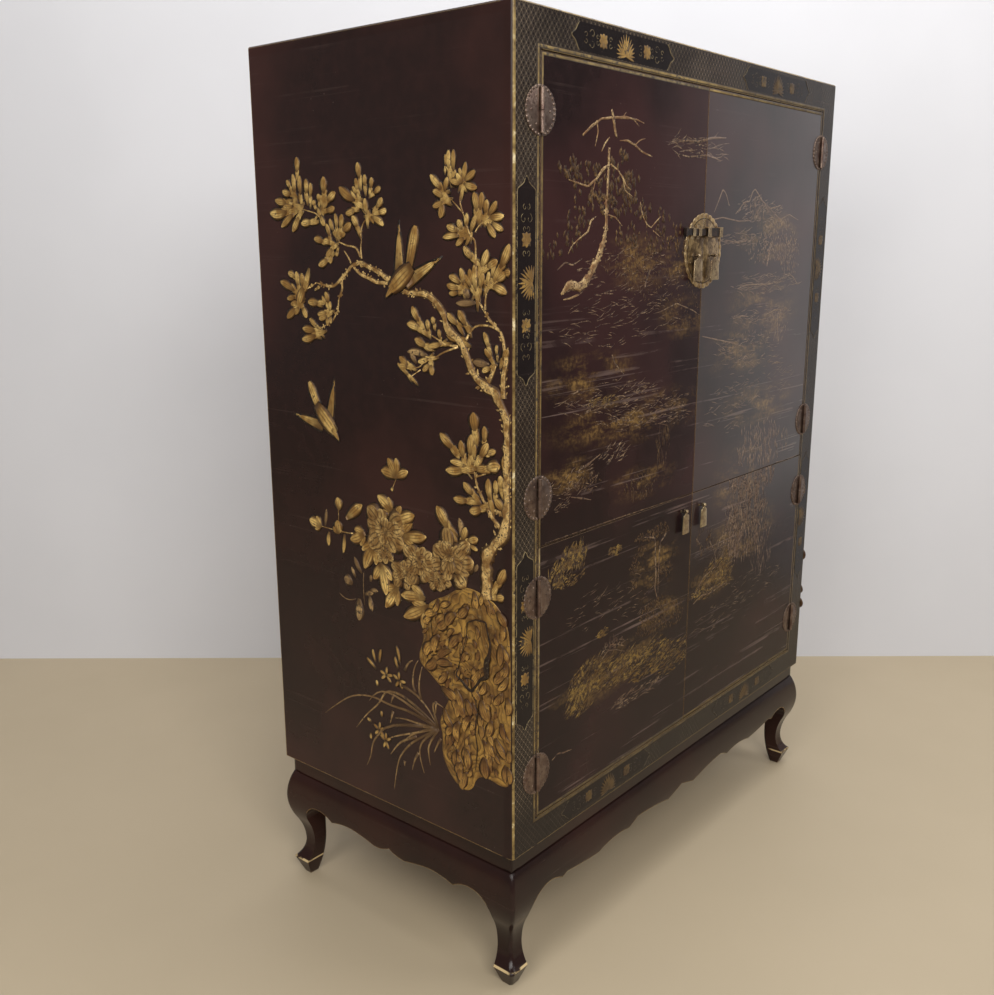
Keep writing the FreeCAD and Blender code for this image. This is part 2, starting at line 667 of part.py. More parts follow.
def bolt_receiver():
    """Flat tube on the right-hand plate that the bolt shoots into, closed at its far end."""
    mouth = BOLT_TIP_SETBACK
    far = mouth + RECEIVER_LENGTH
    tube = around_bolt((mouth, far), RECEIVER_WALL, RECEIVER_CLEARANCE)
    half = BOLT_HEIGHT / 2 + RECEIVER_CLEARANCE
    front = LOCK_FACE_Y - BOLT_THICKNESS - 2 * RECEIVER_CLEARANCE
    end = box((far - RECEIVER_WALL, far), (front, LOCK_FACE_Y), (BOLT_Z - half, BOLT_Z + half))
    return tube.fuse(end).removeSplitter()


def receiver_straps():
    """Two bridges that hold the receiver down, one at its mouth and one near its end."""
    clearance = RECEIVER_CLEARANCE + RECEIVER_WALL
    far = BOLT_TIP_SETBACK + RECEIVER_LENGTH
    starts = (BOLT_TIP_SETBACK, far - RECEIVER_STRAP_LENGTH)
    half = BOLT_HEIGHT / 2 + clearance
    front = LOCK_FACE_Y - BOLT_THICKNESS - 2 * RECEIVER_CLEARANCE - RECEIVER_WALL
    straps = []
    for start in starts:
        x = (start, start + RECEIVER_STRAP_LENGTH)
        outer = box(x, (front - GUIDE_WALL, LOCK_FACE_Y),
                    (BOLT_Z - half - GUIDE_WALL, BOLT_Z + half + GUIDE_WALL))
        inner = box((x[0] - 1, x[1] + 1), (front, LOCK_FACE_Y), (BOLT_Z - half, BOLT_Z + half))
        straps.append(outer.cut(inner))
    return group(straps)


# ---- assembly ----

def build_parts():
    parts = {
        "top_board": top_board(),
        "floor_board": housed_board(FLOOR_TOP, FLOOR_THICKNESS),
        "partition_board": housed_board(PARTITION_TOP, PARTITION_THICKNESS),
        "back_panel": back_panel(),
        "upper_shelf": shelf(UPPER_SHELF_Z),
        "lower_shelf": shelf(LOWER_SHELF_Z),
        "shelf_bearers": shelf_bearers(),
        "front_rail_top": front_rail(OPENING_TOP, SIDE_TOP),
        "front_rail_bottom": front_rail(CARCASE_BOTTOM, OPENING_BOTTOM),
        "door_stop_top": door_stop_top(),
        "neck_rail_front": neck_rail_long(False),
        "neck_rail_back": neck_rail_long(True),
        "apron_front": front_apron(),
        "apron_back": back_apron(),
        "corner_blocks": corner_blocks(),
        "hinge_pins": hinge_pins(),
        "lock_bolt": lock_bolt(),
        "bolt_guides": bolt_guides(),
        "bolt_receiver": bolt_receiver(),
        "receiver_straps": receiver_straps(),
    }
    for side, name in SIDE_NAMES.items():
        parts["side_panel_" + name] = side_panel(side)
        parts["front_stile_" + name] = front_stile(side)
        parts["neck_rail_" + name] = neck_rail_side(side)
        parts["apron_" + name] = side_apron(side)
        parts["leg_front_" + name] = leg(side, False)
        parts["leg_back_" + name] = leg(side, True)
        parts["lock_plate_" + name] = lock_plate(side)
        for level, door in (("upper", UPPER_DOOR), ("lower", LOWER_DOOR)):
            label = level + "_" + name
            parts["door_leaf_" + label] = door_leaf(side, door)
            parts["frame_hinge_leaves_" + label] = hinge_leaves(side, door, False)
            parts["door_hinge_leaves_" + label] = hinge_leaves(side, door, True)
            parts["staple_" + label] = staple(side, door)
            parts["pull_" + label] = pull(side, door)
    return parts


os.makedirs("parts", exist_ok=True)
for node, shape in build_parts().items():
    shape.exportStep("parts/" + node + ".step")
    print(node, len(shape.Solids), round(shape.Volume), shape.isValid())
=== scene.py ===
import math
import random

import bmesh
import bpy
from mathutils import Matrix, Vector, geometry, noise


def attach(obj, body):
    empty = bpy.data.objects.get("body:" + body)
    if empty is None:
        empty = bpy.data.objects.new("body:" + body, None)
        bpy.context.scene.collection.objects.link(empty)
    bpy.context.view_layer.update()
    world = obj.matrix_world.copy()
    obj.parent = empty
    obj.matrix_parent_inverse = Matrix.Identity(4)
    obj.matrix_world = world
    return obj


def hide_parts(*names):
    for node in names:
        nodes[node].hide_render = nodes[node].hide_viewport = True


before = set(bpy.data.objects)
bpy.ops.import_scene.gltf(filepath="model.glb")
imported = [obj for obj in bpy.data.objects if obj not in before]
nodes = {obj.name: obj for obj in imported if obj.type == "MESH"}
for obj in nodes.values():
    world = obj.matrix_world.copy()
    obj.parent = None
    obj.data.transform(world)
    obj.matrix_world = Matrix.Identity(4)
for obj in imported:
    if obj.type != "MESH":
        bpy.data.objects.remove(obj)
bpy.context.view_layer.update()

# ---- The stand's aprons, legs and neck rails -----------------------------------------------------
# Hardwood shaped by hand: square cabriole legs and scalloped aprons under a set-in neck, all coated
# with the same near-black aubergine lacquer, which has worn to gold size and pale wood on its edges.


def tint(red, green, blue):
    """A colour written as it looks, 0 to 255, in the values the shaders work in."""
    def linear(value):
        value /= 255
        return value / 12.92 if value <= 0.04045 else ((value + 0.055) / 1.055) ** 2.4
    return linear(red), linear(green), linear(blue), 1.0


def add(tree, kind, inputs=None, **settings):
    """A shader node with its settings and its inputs, each a constant or another node's output."""
    node = tree.nodes.new("ShaderNode" + kind)
    for name, value in settings.items():
        setattr(node, name, value)
    for name, value in (inputs or {}).items():
        socket = node.inputs[name]
        if isinstance(value, bpy.types.NodeSocket):
            tree.links.new(value, socket)
        else:
            socket.default_value = value
    return node


def calc(tree, operation, first, second=0.0, third=0.0):
    return add(tree, "Math", {0: first, 1: second, 2: third}, operation=operation).outputs[0]


def times(tree, first, second):
    return calc(tree, "MULTIPLY", first, second)


def apart(tree, first, second):
    """How far two values are apart."""
    return calc(tree, "ABSOLUTE", calc(tree, "SUBTRACT", first, second))


def span(tree, across, upright):
    """The distance that two measures at right angles make."""
    squares = [calc(tree, "POWER", side, 2.0) for side in (across, upright)]
    return calc(tree, "SQRT", calc(tree, "ADD", *squares))


def step(tree, value, low, high, start=0.0, end=1.0):
    """Rises smoothly from start to end while value goes from low to high."""
    return add(tree, "MapRange", {"Value": value, "From Min": low, "From Max": high, "To Min": start,
                                  "To Max": end}, interpolation_type="SMOOTHSTEP").outputs[0]


def mix(tree, share, first, second):
    return add(tree, "Mix", {0: share, 6: first, 7: second}, data_type="RGBA").outputs[2]


def own_place(tree):
    """How far a point is along the piece's own X, Y and Z."""
    return add(tree, "SeparateXYZ", {0: add(tree, "TexCoord").outputs["Object"]}).outputs


def grain(tree, scale, stretch=(1, 1, 1), detail=4.0, rough=0.55, shift=(0, 0, 0)):
    """Cloudy noise over the piece's own coordinates, drawn out along the axes with a low stretch."""
    coords = add(tree, "TexCoord").outputs["Object"]
    place = add(tree, "Mapping", {"Vector": coords, "Scale": stretch, "Location": shift})
    return add(tree, "TexNoise", {"Vector": place.outputs[0], "Scale": scale, "Detail": detail,
                                  "Roughness": rough}).outputs[0]


def effect(name, inputs, outputs):
    """An empty node group with its named inputs (kind and value) and outputs (kind)."""
    tree = bpy.data.node_groups.new(name, "ShaderNodeTree")
    for label, (kind, value) in inputs.items():
        socket = tree.interface.new_socket(label, in_out="INPUT", socket_type="NodeSocket" + kind)
        socket.default_value = value
    for label, kind in outputs.items():
        tree.interface.new_socket(label, in_out="OUTPUT", socket_type="NodeSocket" + kind)
    return tree, tree.nodes.new("NodeGroupInput").outputs, tree.nodes.new("NodeGroupOutput").inputs


def give(tree, sockets, **values):
    for name, value in values.items():
        tree.links.new(value, sockets[name])


def use(tree, group, **inputs):
    """The outputs of an effect placed in a material with this material's own values."""
    return add(tree, "Group", inputs, node_tree=group).outputs


def new_finish(name, **constants):
    """A material, its node tree and its surface shader with the values that stay the same all over."""
    material = bpy.data.materials.new(name)
    material.use_nodes = True
    surface = material.node_tree.nodes["Principled BSDF"]
    for label, value in constants.items():
        surface.inputs[label.replace("_", " ")].default_value = value
    return material, material.node_tree, surface


def dress(tree, surface, colour, rough, height=None, depth=0.0, metal=None, rounding=None):
    """Joins the colour, roughness and relief of a finish to its surface shader."""
    tree.links.new(colour, surface.inputs["Base Color"])
    tree.links.new(rough, surface.inputs["Roughness"])
    if metal is not None:
        tree.links.new(metal, surface.inputs["Metallic"])
    if height is not None:
        bump = add(tree, "Bump", {"Height": height, "Distance": depth, "Strength": 0.8})
        if rounding is not None:
            tree.links.new(rounding, bump.inputs["Normal"])
        tree.links.new(bump.outputs[0], surface.inputs["Normal"])


edge_wear, given, made = effect("edge_wear", {
    "Radius": ("Float", 0.002), "Reach": ("Float", 0.2), "Amount": ("Float", 0.5),
    "Scale": ("Float", 60.0)}, {"Mask": "Float"})
rounded = add(edge_wear, "Bevel", {"Radius": given["Radius"]}, samples=4).outputs[0]
plain = add(edge_wear, "NewGeometry").outputs["Normal"]
turned = add(edge_wear, "VectorMath", {0: rounded, 1: plain}, operation="DOT_PRODUCT").outputs["Value"]
edge = step(edge_wear, calc(edge_wear, "SUBTRACT", 1.0, turned), 0.02, given["Reach"])
coords = add(edge_wear, "TexCoord").outputs["Object"]
chips = add(edge_wear, "TexNoise", {"Vector": coords, "Scale": given["Scale"], "Detail": 5.0,
                                    "Roughness": 0.65}).outputs[0]
limit = calc(edge_wear, "SUBTRACT", 1.0, given["Amount"])
chipped = step(edge_wear, calc(edge_wear, "ADD", chips, times(edge_wear, edge, 0.25)),
               times(edge_wear, limit, 0.8), calc(edge_wear, "ADD", limit, 0.12))
give(edge_wear, made, Mask=times(edge_wear, edge, chipped))

lacquer_film, given, made = effect("lacquer_film", {
    "Ground": ("Color", tint(34, 24, 24)), "Warm": ("Color", tint(70, 34, 28)),
    "Dust": ("Color", tint(120, 100, 92)), "Streaks": ("Float", 0.3), "Warmth": ("Float", 0.5)},
    {"Color": "Color", "Roughness": "Float", "Height": "Float"})
tree = lacquer_film
clouds = grain(tree, 2.1, detail=3.0, shift=(3.1, 0.7, 1.9))
warm_share = times(tree, step(tree, clouds, 0.40, 0.66), given["Warmth"])
body_colour = mix(tree, warm_share, given["Ground"], given["Warm"])
fine = grain(tree, 34.0, detail=6.0, rough=0.6)
body_colour = mix(tree, step(tree, fine, 0.35, 0.75, 0.0, 0.18), body_colour, given["Warm"])
lines = grain(tree, 3.0, stretch=(0.5, 0.5, 34.0), detail=5.0, rough=0.62)
broken = grain(tree, 5.0, stretch=(1, 1, 2.5), shift=(1.3, 4.2, 0.2))
crack = times(tree, step(tree, lines, 0.57, 0.68), step(tree, broken, 0.44, 0.62))
crack = times(tree, crack, given["Streaks"])
spots = add(tree, "TexVoronoi", {"Vector": add(tree, "TexCoord").outputs["Object"], "Scale": 70.0,
                                 "Randomness": 1.0}).outputs["Distance"]
flecks = times(tree, step(tree, spots, 0.10, 0.05), step(tree, broken, 0.58, 0.66))
dusty = calc(tree, "MAXIMUM", crack, times(tree, flecks, 0.6))
give(tree, made, Color=mix(tree, times(tree, dusty, 0.7), body_colour, given["Dust"]),
     Roughness=calc(tree, "ADD", step(tree, fine, 0.3, 0.8, 0.21, 0.27), times(tree, crack, 0.3)),
     Height=calc(tree, "SUBTRACT", times(tree, fine, 0.10), crack))


def worn_edges(tree, radius, amount, joints=()):
    """Where arrises have lost their lacquer; at the joints (axis, middle, half spacing) they are hidden."""
    mask = use(tree, edge_wear, Radius=radius, Amount=amount)["Mask"]
    axes = own_place(tree)
    for axis, middle, spacing in joints:
        far = apart(tree, axes["XYZ".index(axis)], middle)
        gap = apart(tree, far, spacing)
        mask = times(tree, mask, step(tree, gap, 0.004, 0.008))
    return mask


def lacquer(name, ground, warm, streaks, warmth, wear, joints, gloss=1.0, toe=None):
    """Old lacquer with its edges worn through to gold size and, in places, to pale wood."""
    material, tree, surface = new_finish(name, IOR=1.35)
    film = use(tree, lacquer_film, Ground=tint(*ground), Warm=tint(*warm), Streaks=streaks, Warmth=warmth)
    worn_through = worn_edges(tree, 0.004, wear, joints=joints)
    rounding = None
    if toe:
        # The legs' outer corners are rounded over and polished, so they keep their lacquer.
        across, forward, _ = own_place(tree)
        depth_in = apart(tree, forward, MIDDLE)
        beside = calc(tree, "SUBTRACT", calc(tree, "ABSOLUTE", across), depth_in)
        off_corner = apart(tree, beside, LEG_CORNER)
        worn_through = times(tree, worn_through, step(tree, off_corner, 0.008, 0.016))
        soft = add(tree, "Bevel", {"Radius": 0.009}, samples=8).outputs[0]
        flat = add(tree, "NewGeometry").outputs["Normal"]
        rounding = add(tree, "Mix", {0: step(tree, off_corner, 0.026, 0.016), 4: flat, 5: soft},
                       data_type="VECTOR").outputs[1]
    bare = step(tree, grain(tree, 17.0, detail=3.0), 0.50, 0.60)
    under = mix(tree, bare, tint(150, 118, 70), tint(178, 152, 108))
    colour = mix(tree, worn_through, film["Color"], under)
    if toe:
        upright = own_place(tree)["Z"]
        ring = step(tree, apart(tree, upright, toe), 0.0030, 0.0018)
        ring = times(tree, ring, step(tree, grain(tree, 30.0, detail=4.0), 0.36, 0.50))
        colour = mix(tree, ring, colour, tint(196, 172, 128))
    rough = calc(tree, "ADD", calc(tree, "DIVIDE", film["Roughness"], gloss),
                 times(tree, worn_through, 0.3))
    dress(tree, surface, colour, rough, film["Height"], 0.0003 / gloss, rounding=rounding)
    return material


# The stand's middle in depth, and how much farther from the middle a leg's corner is across.
MIDDLE = 0.0054
LEG_CORNER = 0.3175
# Height of the pale line round each toe.
TOE_LINE = 0.043
# The arrises between legs and aprons, and between neck and case, are closed joints and can't wear.
stand_finish = lacquer("stand_lacquer", (30, 19, 17), (54, 29, 23), 0.12, 0.6, 0.76,
                       (("X", 0.0, 0.613), ("Y", MIDDLE, 0.2955), ("X", 0.0, 0.662), ("Y", MIDDLE, 0.3445)),
                       gloss=1.35, toe=TOE_LINE)


def coat(finish, *names):
    """Gives these pieces their finish."""
    for name in names:
        nodes[name].data.materials.clear()
        nodes[name].data.materials.append(finish)


coat(stand_finish, *[f"{part}_{side}" for part in ("apron", "neck_rail")
                     for side in ("front", "back", "left", "right")],
     *[f"leg_{end}_{side}" for end in ("front", "back") for side in ("left", "right")])

# ---- The bare wood inside ------------------------------------------------------------------------
# Softwood boards left in the wood: floor, partition, two loose shelves on bearers, the back, the
# door stop and the stand's glue blocks. They are sawn, planed, and darkened with age.


def wood(name, light, dark, along):
    material, tree, surface = new_finish(name)
    stretch = [9.0, 9.0, 9.0]
    stretch["XYZ".index(along)] = 0.6
    rings = grain(tree, 3.5, stretch=stretch, detail=6.0, rough=0.6)
    pores = grain(tree, 24.0, stretch=stretch, detail=3.0)
    colour = mix(tree, step(tree, rings, 0.35, 0.68), tint(*light), tint(*dark))
    colour = mix(tree, step(tree, pores, 0.52, 0.75, 0.0, 0.5), colour, tint(72, 48, 30))
    dress(tree, surface, colour, step(tree, pores, 0.3, 0.8, 0.55, 0.8), pores, 0.0004)
    return material


inner_wood = wood("inner_wood", (170, 132, 88), (128, 92, 58), "X")
back_wood = wood("back_wood", (132, 100, 68), (92, 66, 44), "Z")
coat(inner_wood, "floor_board", "partition_board", "upper_shelf", "lower_shelf", "shelf_bearers",
     "door_stop_top", "corner_blocks")
coat(back_wood, "back_panel")

# ---- The case's sides and top --------------------------------------------------------------------
# Wide boards coated with dark brown lacquer in many thin layers. The top's front edge and the case's
# corners were gilded, and are rubbed and chipped.

CASE_GROUND, CASE_WARM = (37, 25, 23), (60, 36, 32)
case_finish = lacquer("case_lacquer", CASE_GROUND, CASE_WARM, 0.10, 0.75, 0.60,
                      (("Z", 0.0, 1.920), ("Y", -0.330, 0.0)))
coat(case_finish, "side_panel_left", "side_panel_right")

# ---- The front frame and its gilded border -------------------------------------------------------
# Stiles and rails round the door opening, black lacquer with a diaper of fine gold lines. Ogee-ended
# panels of plain black carry gold scrolls, rosettes and half chrysanthemums; gilt bands edge the frame.

CASE_LEFT = -0.675
CASE_TOP = 1.940
CASE_FRONT = -0.3521
CASE_BACK = 0.3629
MM = 0.001

# Panel coordinates are millimetres across from the left or back edge, down from the top, and out.
on_front = Matrix(((MM, 0, 0, CASE_LEFT), (0, 0, -MM, CASE_FRONT), (0, -MM, 0, CASE_TOP), (0, 0, 0, 1)))
on_left = Matrix(((0, 0, -MM, CASE_LEFT), (-MM, 0, 0, CASE_BACK), (0, -MM, 0, CASE_TOP), (0, 0, 0, 1)))
on_right = Matrix(((0, 0, MM, -CASE_LEFT), (-MM, 0, 0, CASE_BACK), (0, -MM, 0, CASE_TOP), (0, 0, 0, 1)))


def add_curve(bm, data, flat=1.0):
    """Adds a curve's mesh, flat times as high as it stands, and drops the curve."""
    holder = bpy.data.objects.new("curve", data)
    mesh = bpy.data.meshes.new_from_object(holder)
    bpy.data.objects.remove(holder)
    bpy.data.curves.remove(data)
    mesh.transform(Matrix.Diagonal((1, 1, flat, 1)))
    bm.from_mesh(mesh)
    bpy.data.meshes.remove(mesh)


def corners(geom):
    return [part for part in geom if isinstance(part, bmesh.types.BMVert)]


def cut_off(sheet, point, normal, **settings):
    """Cuts a whole sheet along a plane."""
    bmesh.ops.bisect_plane(sheet, geom=sheet.verts[:] + sheet.edges[:] + sheet.faces[:], plane_co=point,
                           plane_no=normal, **settings)


def file_round(bm, edges, width, **settings):
    """Files these edges round."""
    bmesh.ops.bevel(bm, geom=edges, offset=width, offset_type="OFFSET", affect="EDGES", segments=2,
                    profile=0.5, material=-1, **settings)


def join(source, target):
    """Adds one mesh in the making to another."""
    mesh = bpy.data.meshes.new("part")
    source.to_mesh(mesh)
    source.free()
    target.from_mesh(mesh)
    bpy.data.meshes.remove(mesh)


def add_strokes(bm, strokes, flat, sides=1, steps=3, closed=False):
    """Adds each (points, half widths, lift) as a low ridge on the panel, flat times as high as wide."""
    data = bpy.data.curves.new("strokes", "CURVE")
    data.dimensions = "3D"
    data.twist_mode = "Z_UP"
    data.bevel_depth = 1.0
    data.bevel_resolution = sides
    data.use_fill_caps = True
    for points, widths, lift in strokes:
        spline = data.splines.new("POLY" if closed else "NURBS")
        spline.points.add(len(points) - 1)
        for point, (across, down), width in zip(spline.points, points, widths):
            point.co = (across, down, lift / flat, 1)
            point.radius = width
        if closed:
            spline.use_cyclic_u = True
        else:
            spline.order_u = min(3, len(points))
            spline.use_endpoint_u = True
            spline.resolution_u = steps
    add_curve(bm, data, flat)


def new_piece(name, bm, material):
    """An object in the scene with this mesh and finish."""
    mesh = bpy.data.meshes.new(name)
    bm.to_mesh(mesh)
    bm.free()
    mesh.materials.append(material)
    piece = bpy.data.objects.new(name, mesh)
    bpy.context.scene.collection.objects.link(piece)
    return piece


def finish_piece(name, bm, place, material, body="cabinet", smooth=True, merge=0.002):
    """Sets a mesh made in millimetres in its place, with its faces outwards, and lets it ride on a body."""
    if merge:
        bmesh.ops.remove_doubles(bm, verts=bm.verts, dist=merge)
    bmesh.ops.transform(bm, matrix=place, verts=bm.verts)
    bmesh.ops.recalc_face_normals(bm, faces=bm.faces)
    for face in bm.faces:
        face.smooth = smooth
    piece = new_piece(name, bm, material)
    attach(piece, body)
    return piece


def trim(bm, box):
    """Cuts gilding off at the edges of its panel or door and closes the cuts."""
    left, top, right, bottom = box
    for point, normal in (((left, 0, 0), (-1, 0, 0)), ((right, 0, 0), (1, 0, 0)),
                          ((0, top, 0), (0, -1, 0)), ((0, bottom, 0), (0, 1, 0))):
        over = [v for v in bm.verts if (v.co - Vector(point)).dot(normal) > -0.01]
        faces = {f for v in over for f in v.link_faces}
        if not faces:
            continue
        edges, verts = {e for f in faces for e in f.edges}, {v for f in faces for v in f.verts}
        cut = list(faces) + list(edges) + list(verts)
        bmesh.ops.bisect_plane(bm, geom=cut, dist=0.001, plane_co=point, plane_no=normal, clear_outer=True)
        bmesh.ops.holes_fill(bm, edges=[e for e in bm.edges if e.is_boundary], sides=0)


def gilded(name, place, finish, *layers, box=None, body="cabinet", slot="case_lacquer", **settings):
    """A piece of gilding from layers of (strokes, flatness), kept within a box of its panel."""
    bm = bmesh.new()
    for strokes, flat in layers:
        add_strokes(bm, strokes, flat, **settings)
    if box:
        trim(bm, box)
    finish_piece(name, bm, place, finish, body)


gilding, given, made = effect("gilding", {
    "Gold": ("Color", tint(196, 156, 70)), "Deep": ("Color", tint(112, 78, 34)),
    "Ground": ("Color", tint(40, 28, 24)), "Wear": ("Float", 0.3), "Scale": ("Float", 1.0)},
    {"Color": "Color", "Roughness": "Float", "Metallic": "Float", "Height": "Float"})
tree = gilding
coords = add(tree, "TexCoord").outputs["Object"]
scaled = add(tree, "VectorMath", {0: coords, "Scale": given["Scale"]}, operation="SCALE").outputs[0]
tone = add(tree, "TexNoise", {"Vector": scaled, "Scale": 28.0, "Detail": 5.0}).outputs[0]
rub = add(tree, "TexNoise", {"Vector": scaled, "Scale": 95.0, "Detail": 6.0, "Roughness": 0.7}).outputs[0]
gold = mix(tree, step(tree, tone, 0.36, 0.66), given["Deep"], given["Gold"])
gold = mix(tree, step(tree, rub, 0.58, 0.72, 0.0, 0.55), gold, tint(240, 218, 156))
gone = step(tree, calc(tree, "ADD", rub, times(tree, tone, 0.35)),
            calc(tree, "SUBTRACT", 0.82, times(tree, given["Wear"], 0.42)),
            calc(tree, "SUBTRACT", 0.90, times(tree, given["Wear"], 0.30)))
give(tree, made, Color=mix(tree, gone, gold, given["Ground"]),
     Roughness=step(tree, rub, 0.2, 0.8, 0.34, 0.62),
     Metallic=times(tree, calc(tree, "SUBTRACT", 1.0, gone), 0.32),
     Height=calc(tree, "SUBTRACT", rub, gone))


def gilt(name, gold, deep, wear, ground=(40, 28, 24), scale=1.0, veins=0.0, rim=False, gloss=0.5,
         faded=0.0):
    """Rubbed gold leaf on strokes; veins fan out from their root, and a rim line runs along both edges, a
    drawn brown line that is also painted shade in the gaps between petals.
    A faded finish is rubbed away towards the front's foot and its right-hand end."""
    material, tree, surface = new_finish(name, Specular_IOR_Level=gloss)
    leaf_gold = use(tree, gilding, Gold=tint(*gold), Deep=tint(*deep), Ground=tint(*ground), Wear=wear,
                    Scale=scale)
    colour = leaf_gold["Color"]
    if faded:
        across, _, upright = own_place(tree)
        rubbed_off = calc(tree, "MAXIMUM", step(tree, upright, 0.44, 0.38), step(tree, across, -0.05, 0.30))
        colour = mix(tree, times(tree, rubbed_off, faded), colour, tint(*ground))
    if veins or rim:
        along, around, _ = add(tree, "SeparateXYZ", {0: add(tree, "TexCoord").outputs["UV"]}).outputs
        over = calc(tree, "FRACT", calc(tree, "ADD", around, 1 / 6))
        from_rim = calc(tree, "MINIMUM", over, calc(tree, "SUBTRACT", 0.5, over))
        # The rim line is partly a drawn brown line and partly painted shade, for the shadows in the gaps
        # between petals.
        shade = times(tree, step(tree, from_rim, 0.155, 0.10), 0.9)
        if veins:
            each = add(tree, "NewGeometry").outputs["Random Per Island"]
            colour = mix(tree, step(tree, each, 0.0, 1.0, 0.0, 0.55), colour, tint(*deep))
            root = times(tree, step(tree, along, 0.42, 0.02), 0.85)
            fan = calc(tree, "SINE", times(tree, over, 2 * math.pi * 14))
            fan = times(tree, step(tree, fan, 0.2, 0.9), step(tree, along, 1.0, 0.55, 0.15, veins))
            shade = calc(tree, "MAXIMUM", shade, calc(tree, "MAXIMUM", root, fan))
        colour = mix(tree, shade, colour, tint(deep[0] * 0.50, deep[1] * 0.42, deep[2] * 0.36))
    dress(tree, surface, colour, leaf_gold["Roughness"], leaf_gold["Height"], 0.0003, leaf_gold["Metallic"])
    return material


# Diaper of crossing gold lines, 13 mm across, with a dot at each crossing and an arc in each cell.
DIAPER_WIDE, DIAPER_TALL = 0.0132, 0.0165
border_finish, tree, surface = new_finish("border_lacquer", IOR=1.28)
film = use(tree, lacquer_film, Ground=tint(25, 19, 18), Warm=tint(38, 27, 23), Streaks=0.1, Warmth=0.6)
plain = use(tree, lacquer_film, Ground=tint(*CASE_GROUND), Warm=tint(*CASE_WARM), Streaks=0.1, Warmth=0.75)
across, _, upright = own_place(tree)
row = times(tree, upright, 1 / DIAPER_TALL)
column = times(tree, across, 1 / DIAPER_WIDE)
cells = []
for sum_of in ("ADD", "SUBTRACT"):
    turned = calc(tree, "FRACT", calc(tree, sum_of, column, row))
    cells.append(calc(tree, "SUBTRACT", turned, 0.5))
to_line = [calc(tree, "SUBTRACT", 0.5, calc(tree, "ABSOLUTE", cell)) for cell in cells]
lattice = step(tree, calc(tree, "MINIMUM", *to_line), 0.075, 0.02)
dots = step(tree, calc(tree, "MAXIMUM", *to_line), 0.17, 0.12)
ring_at = span(tree, *cells)
ring = step(tree, apart(tree, ring_at, 0.27), 0.06, 0.02)
pattern = calc(tree, "MAXIMUM", calc(tree, "MAXIMUM", lattice, dots), times(tree, ring, 0.6))
sideways, forward, upward = add(tree, "SeparateXYZ", {0: add(tree, "TexCoord").outputs["Normal"]}).outputs
front = step(tree, forward, -0.9, -0.98)
rubbed = step(tree, grain(tree, 8.0, detail=6.0, rough=0.7), 0.30, 0.62, 0.35, 1.0)
rubbed = times(tree, rubbed, step(tree, upright, 0.36, 0.46, 0.30, 1.0))
rubbed = times(tree, rubbed, step(tree, across, -0.05, 0.35, 1.0, 0.45))
pattern = times(tree, times(tree, pattern, front), rubbed)
colour = mix(tree, front, plain["Color"], film["Color"])
colour = mix(tree, times(tree, pattern, 0.52), colour, tint(130, 113, 90))
# The rounded corners and the top's front arris are gilded; the pale patches on them are painted highlights.
aside = calc(tree, "MAXIMUM", calc(tree, "ABSOLUTE", sideways), upward)
corner = times(tree, step(tree, aside, 0.15, 0.30), step(tree, forward, -0.55, -0.70))
strip_tone_and_highlight = grain(tree, 26.0, detail=6.0, rough=0.7)
strip = mix(tree, step(tree, strip_tone_and_highlight, 0.34, 0.60), tint(84, 66, 38), tint(142, 120, 74))
# Pale patches on the corner strip: painted highlights.
strip = mix(tree, step(tree, strip_tone_and_highlight, 0.56, 0.66), strip, tint(210, 194, 156))
kept = times(tree, corner, step(tree, grain(tree, 60.0, detail=4.0), 0.30, 0.42))
colour = mix(tree, kept, colour, strip)
worn = worn_edges(tree, 0.004, 0.6, joints=(("X", 0.0, 0.600), ("Z", 0.0, 1.920), ("Y", -0.330, 0.0)))
colour = mix(tree, times(tree, worn, 0.8), colour, tint(150, 126, 80))
dress(tree, surface, colour, film["Roughness"], pattern, 0.00015)
coat(border_finish, "front_stile_left", "front_stile_right", "front_rail_top", "front_rail_bottom",
     "top_board")

# A gilt band runs round the opening, against the doors.
band_gilt = gilt("band_gilt", (154, 130, 78), (106, 86, 50), 0.30, ground=(52, 42, 30), rim=True,
                 faded=0.55)
OPENING = (75, 72, 1275, 1558)


def rectangle(left, top, right, bottom):
    return [(left, top), (right, top), (right, bottom), (left, bottom)]


BAND_AWAY, BAND_HALF = 5.2, 4.8
left, top, right, bottom = OPENING
ring = rectangle(left - BAND_AWAY, top - BAND_AWAY, right + BAND_AWAY, bottom + BAND_AWAY)
gilded("frame_gilt_bands", on_front, band_gilt, ([(ring, [BAND_HALF] * 4, 0.0)], 0.1), closed=True)

# The plain panels lie over the diaper as a thin extra coat; an ogee point ends each of them.
border_black, tree, surface = new_finish("border_black", IOR=1.28)
film = use(tree, lacquer_film, Ground=tint(23, 17, 17), Warm=tint(34, 25, 23), Streaks=0.05, Warmth=0.4)
dress(tree, surface, film["Color"], film["Roughness"], film["Height"], 0.0002)


def ogee_panel(left, top, right, bottom, upright):
    """Outline of a plain panel whose two short ends rise in steps to a point."""
    if not upright:
        return [(y, x) for x, y in ogee_panel(top, left, bottom, right, True)]
    middle = (left + right) / 2
    end = [(left, 26), (left + 2, 22), (middle - 12, 15), (middle - 7, 11), (middle - 4, 4), (middle, 0),
           (middle + 4, 4), (middle + 7, 11), (middle + 12, 15), (right - 2, 22), (right, 26)]
    return [(x, top + y) for x, y in end] + [(x, bottom - y) for x, y in reversed(end)]


def add_plate(bm, outline, thickness):
    """Adds a flat plate with this outline, its back on the panel."""
    rim = [bm.verts.new((x, y, -0.3)) for x, y in outline]
    face = bmesh.ops.contextual_create(bm, geom=rim)["faces"]
    lifted = bmesh.ops.extrude_face_region(bm, geom=face)["geom"]
    bmesh.ops.translate(bm, verts=corners(lifted), vec=(0, 0, thickness + 0.3))
    bmesh.ops.contextual_create(bm, geom=rim)


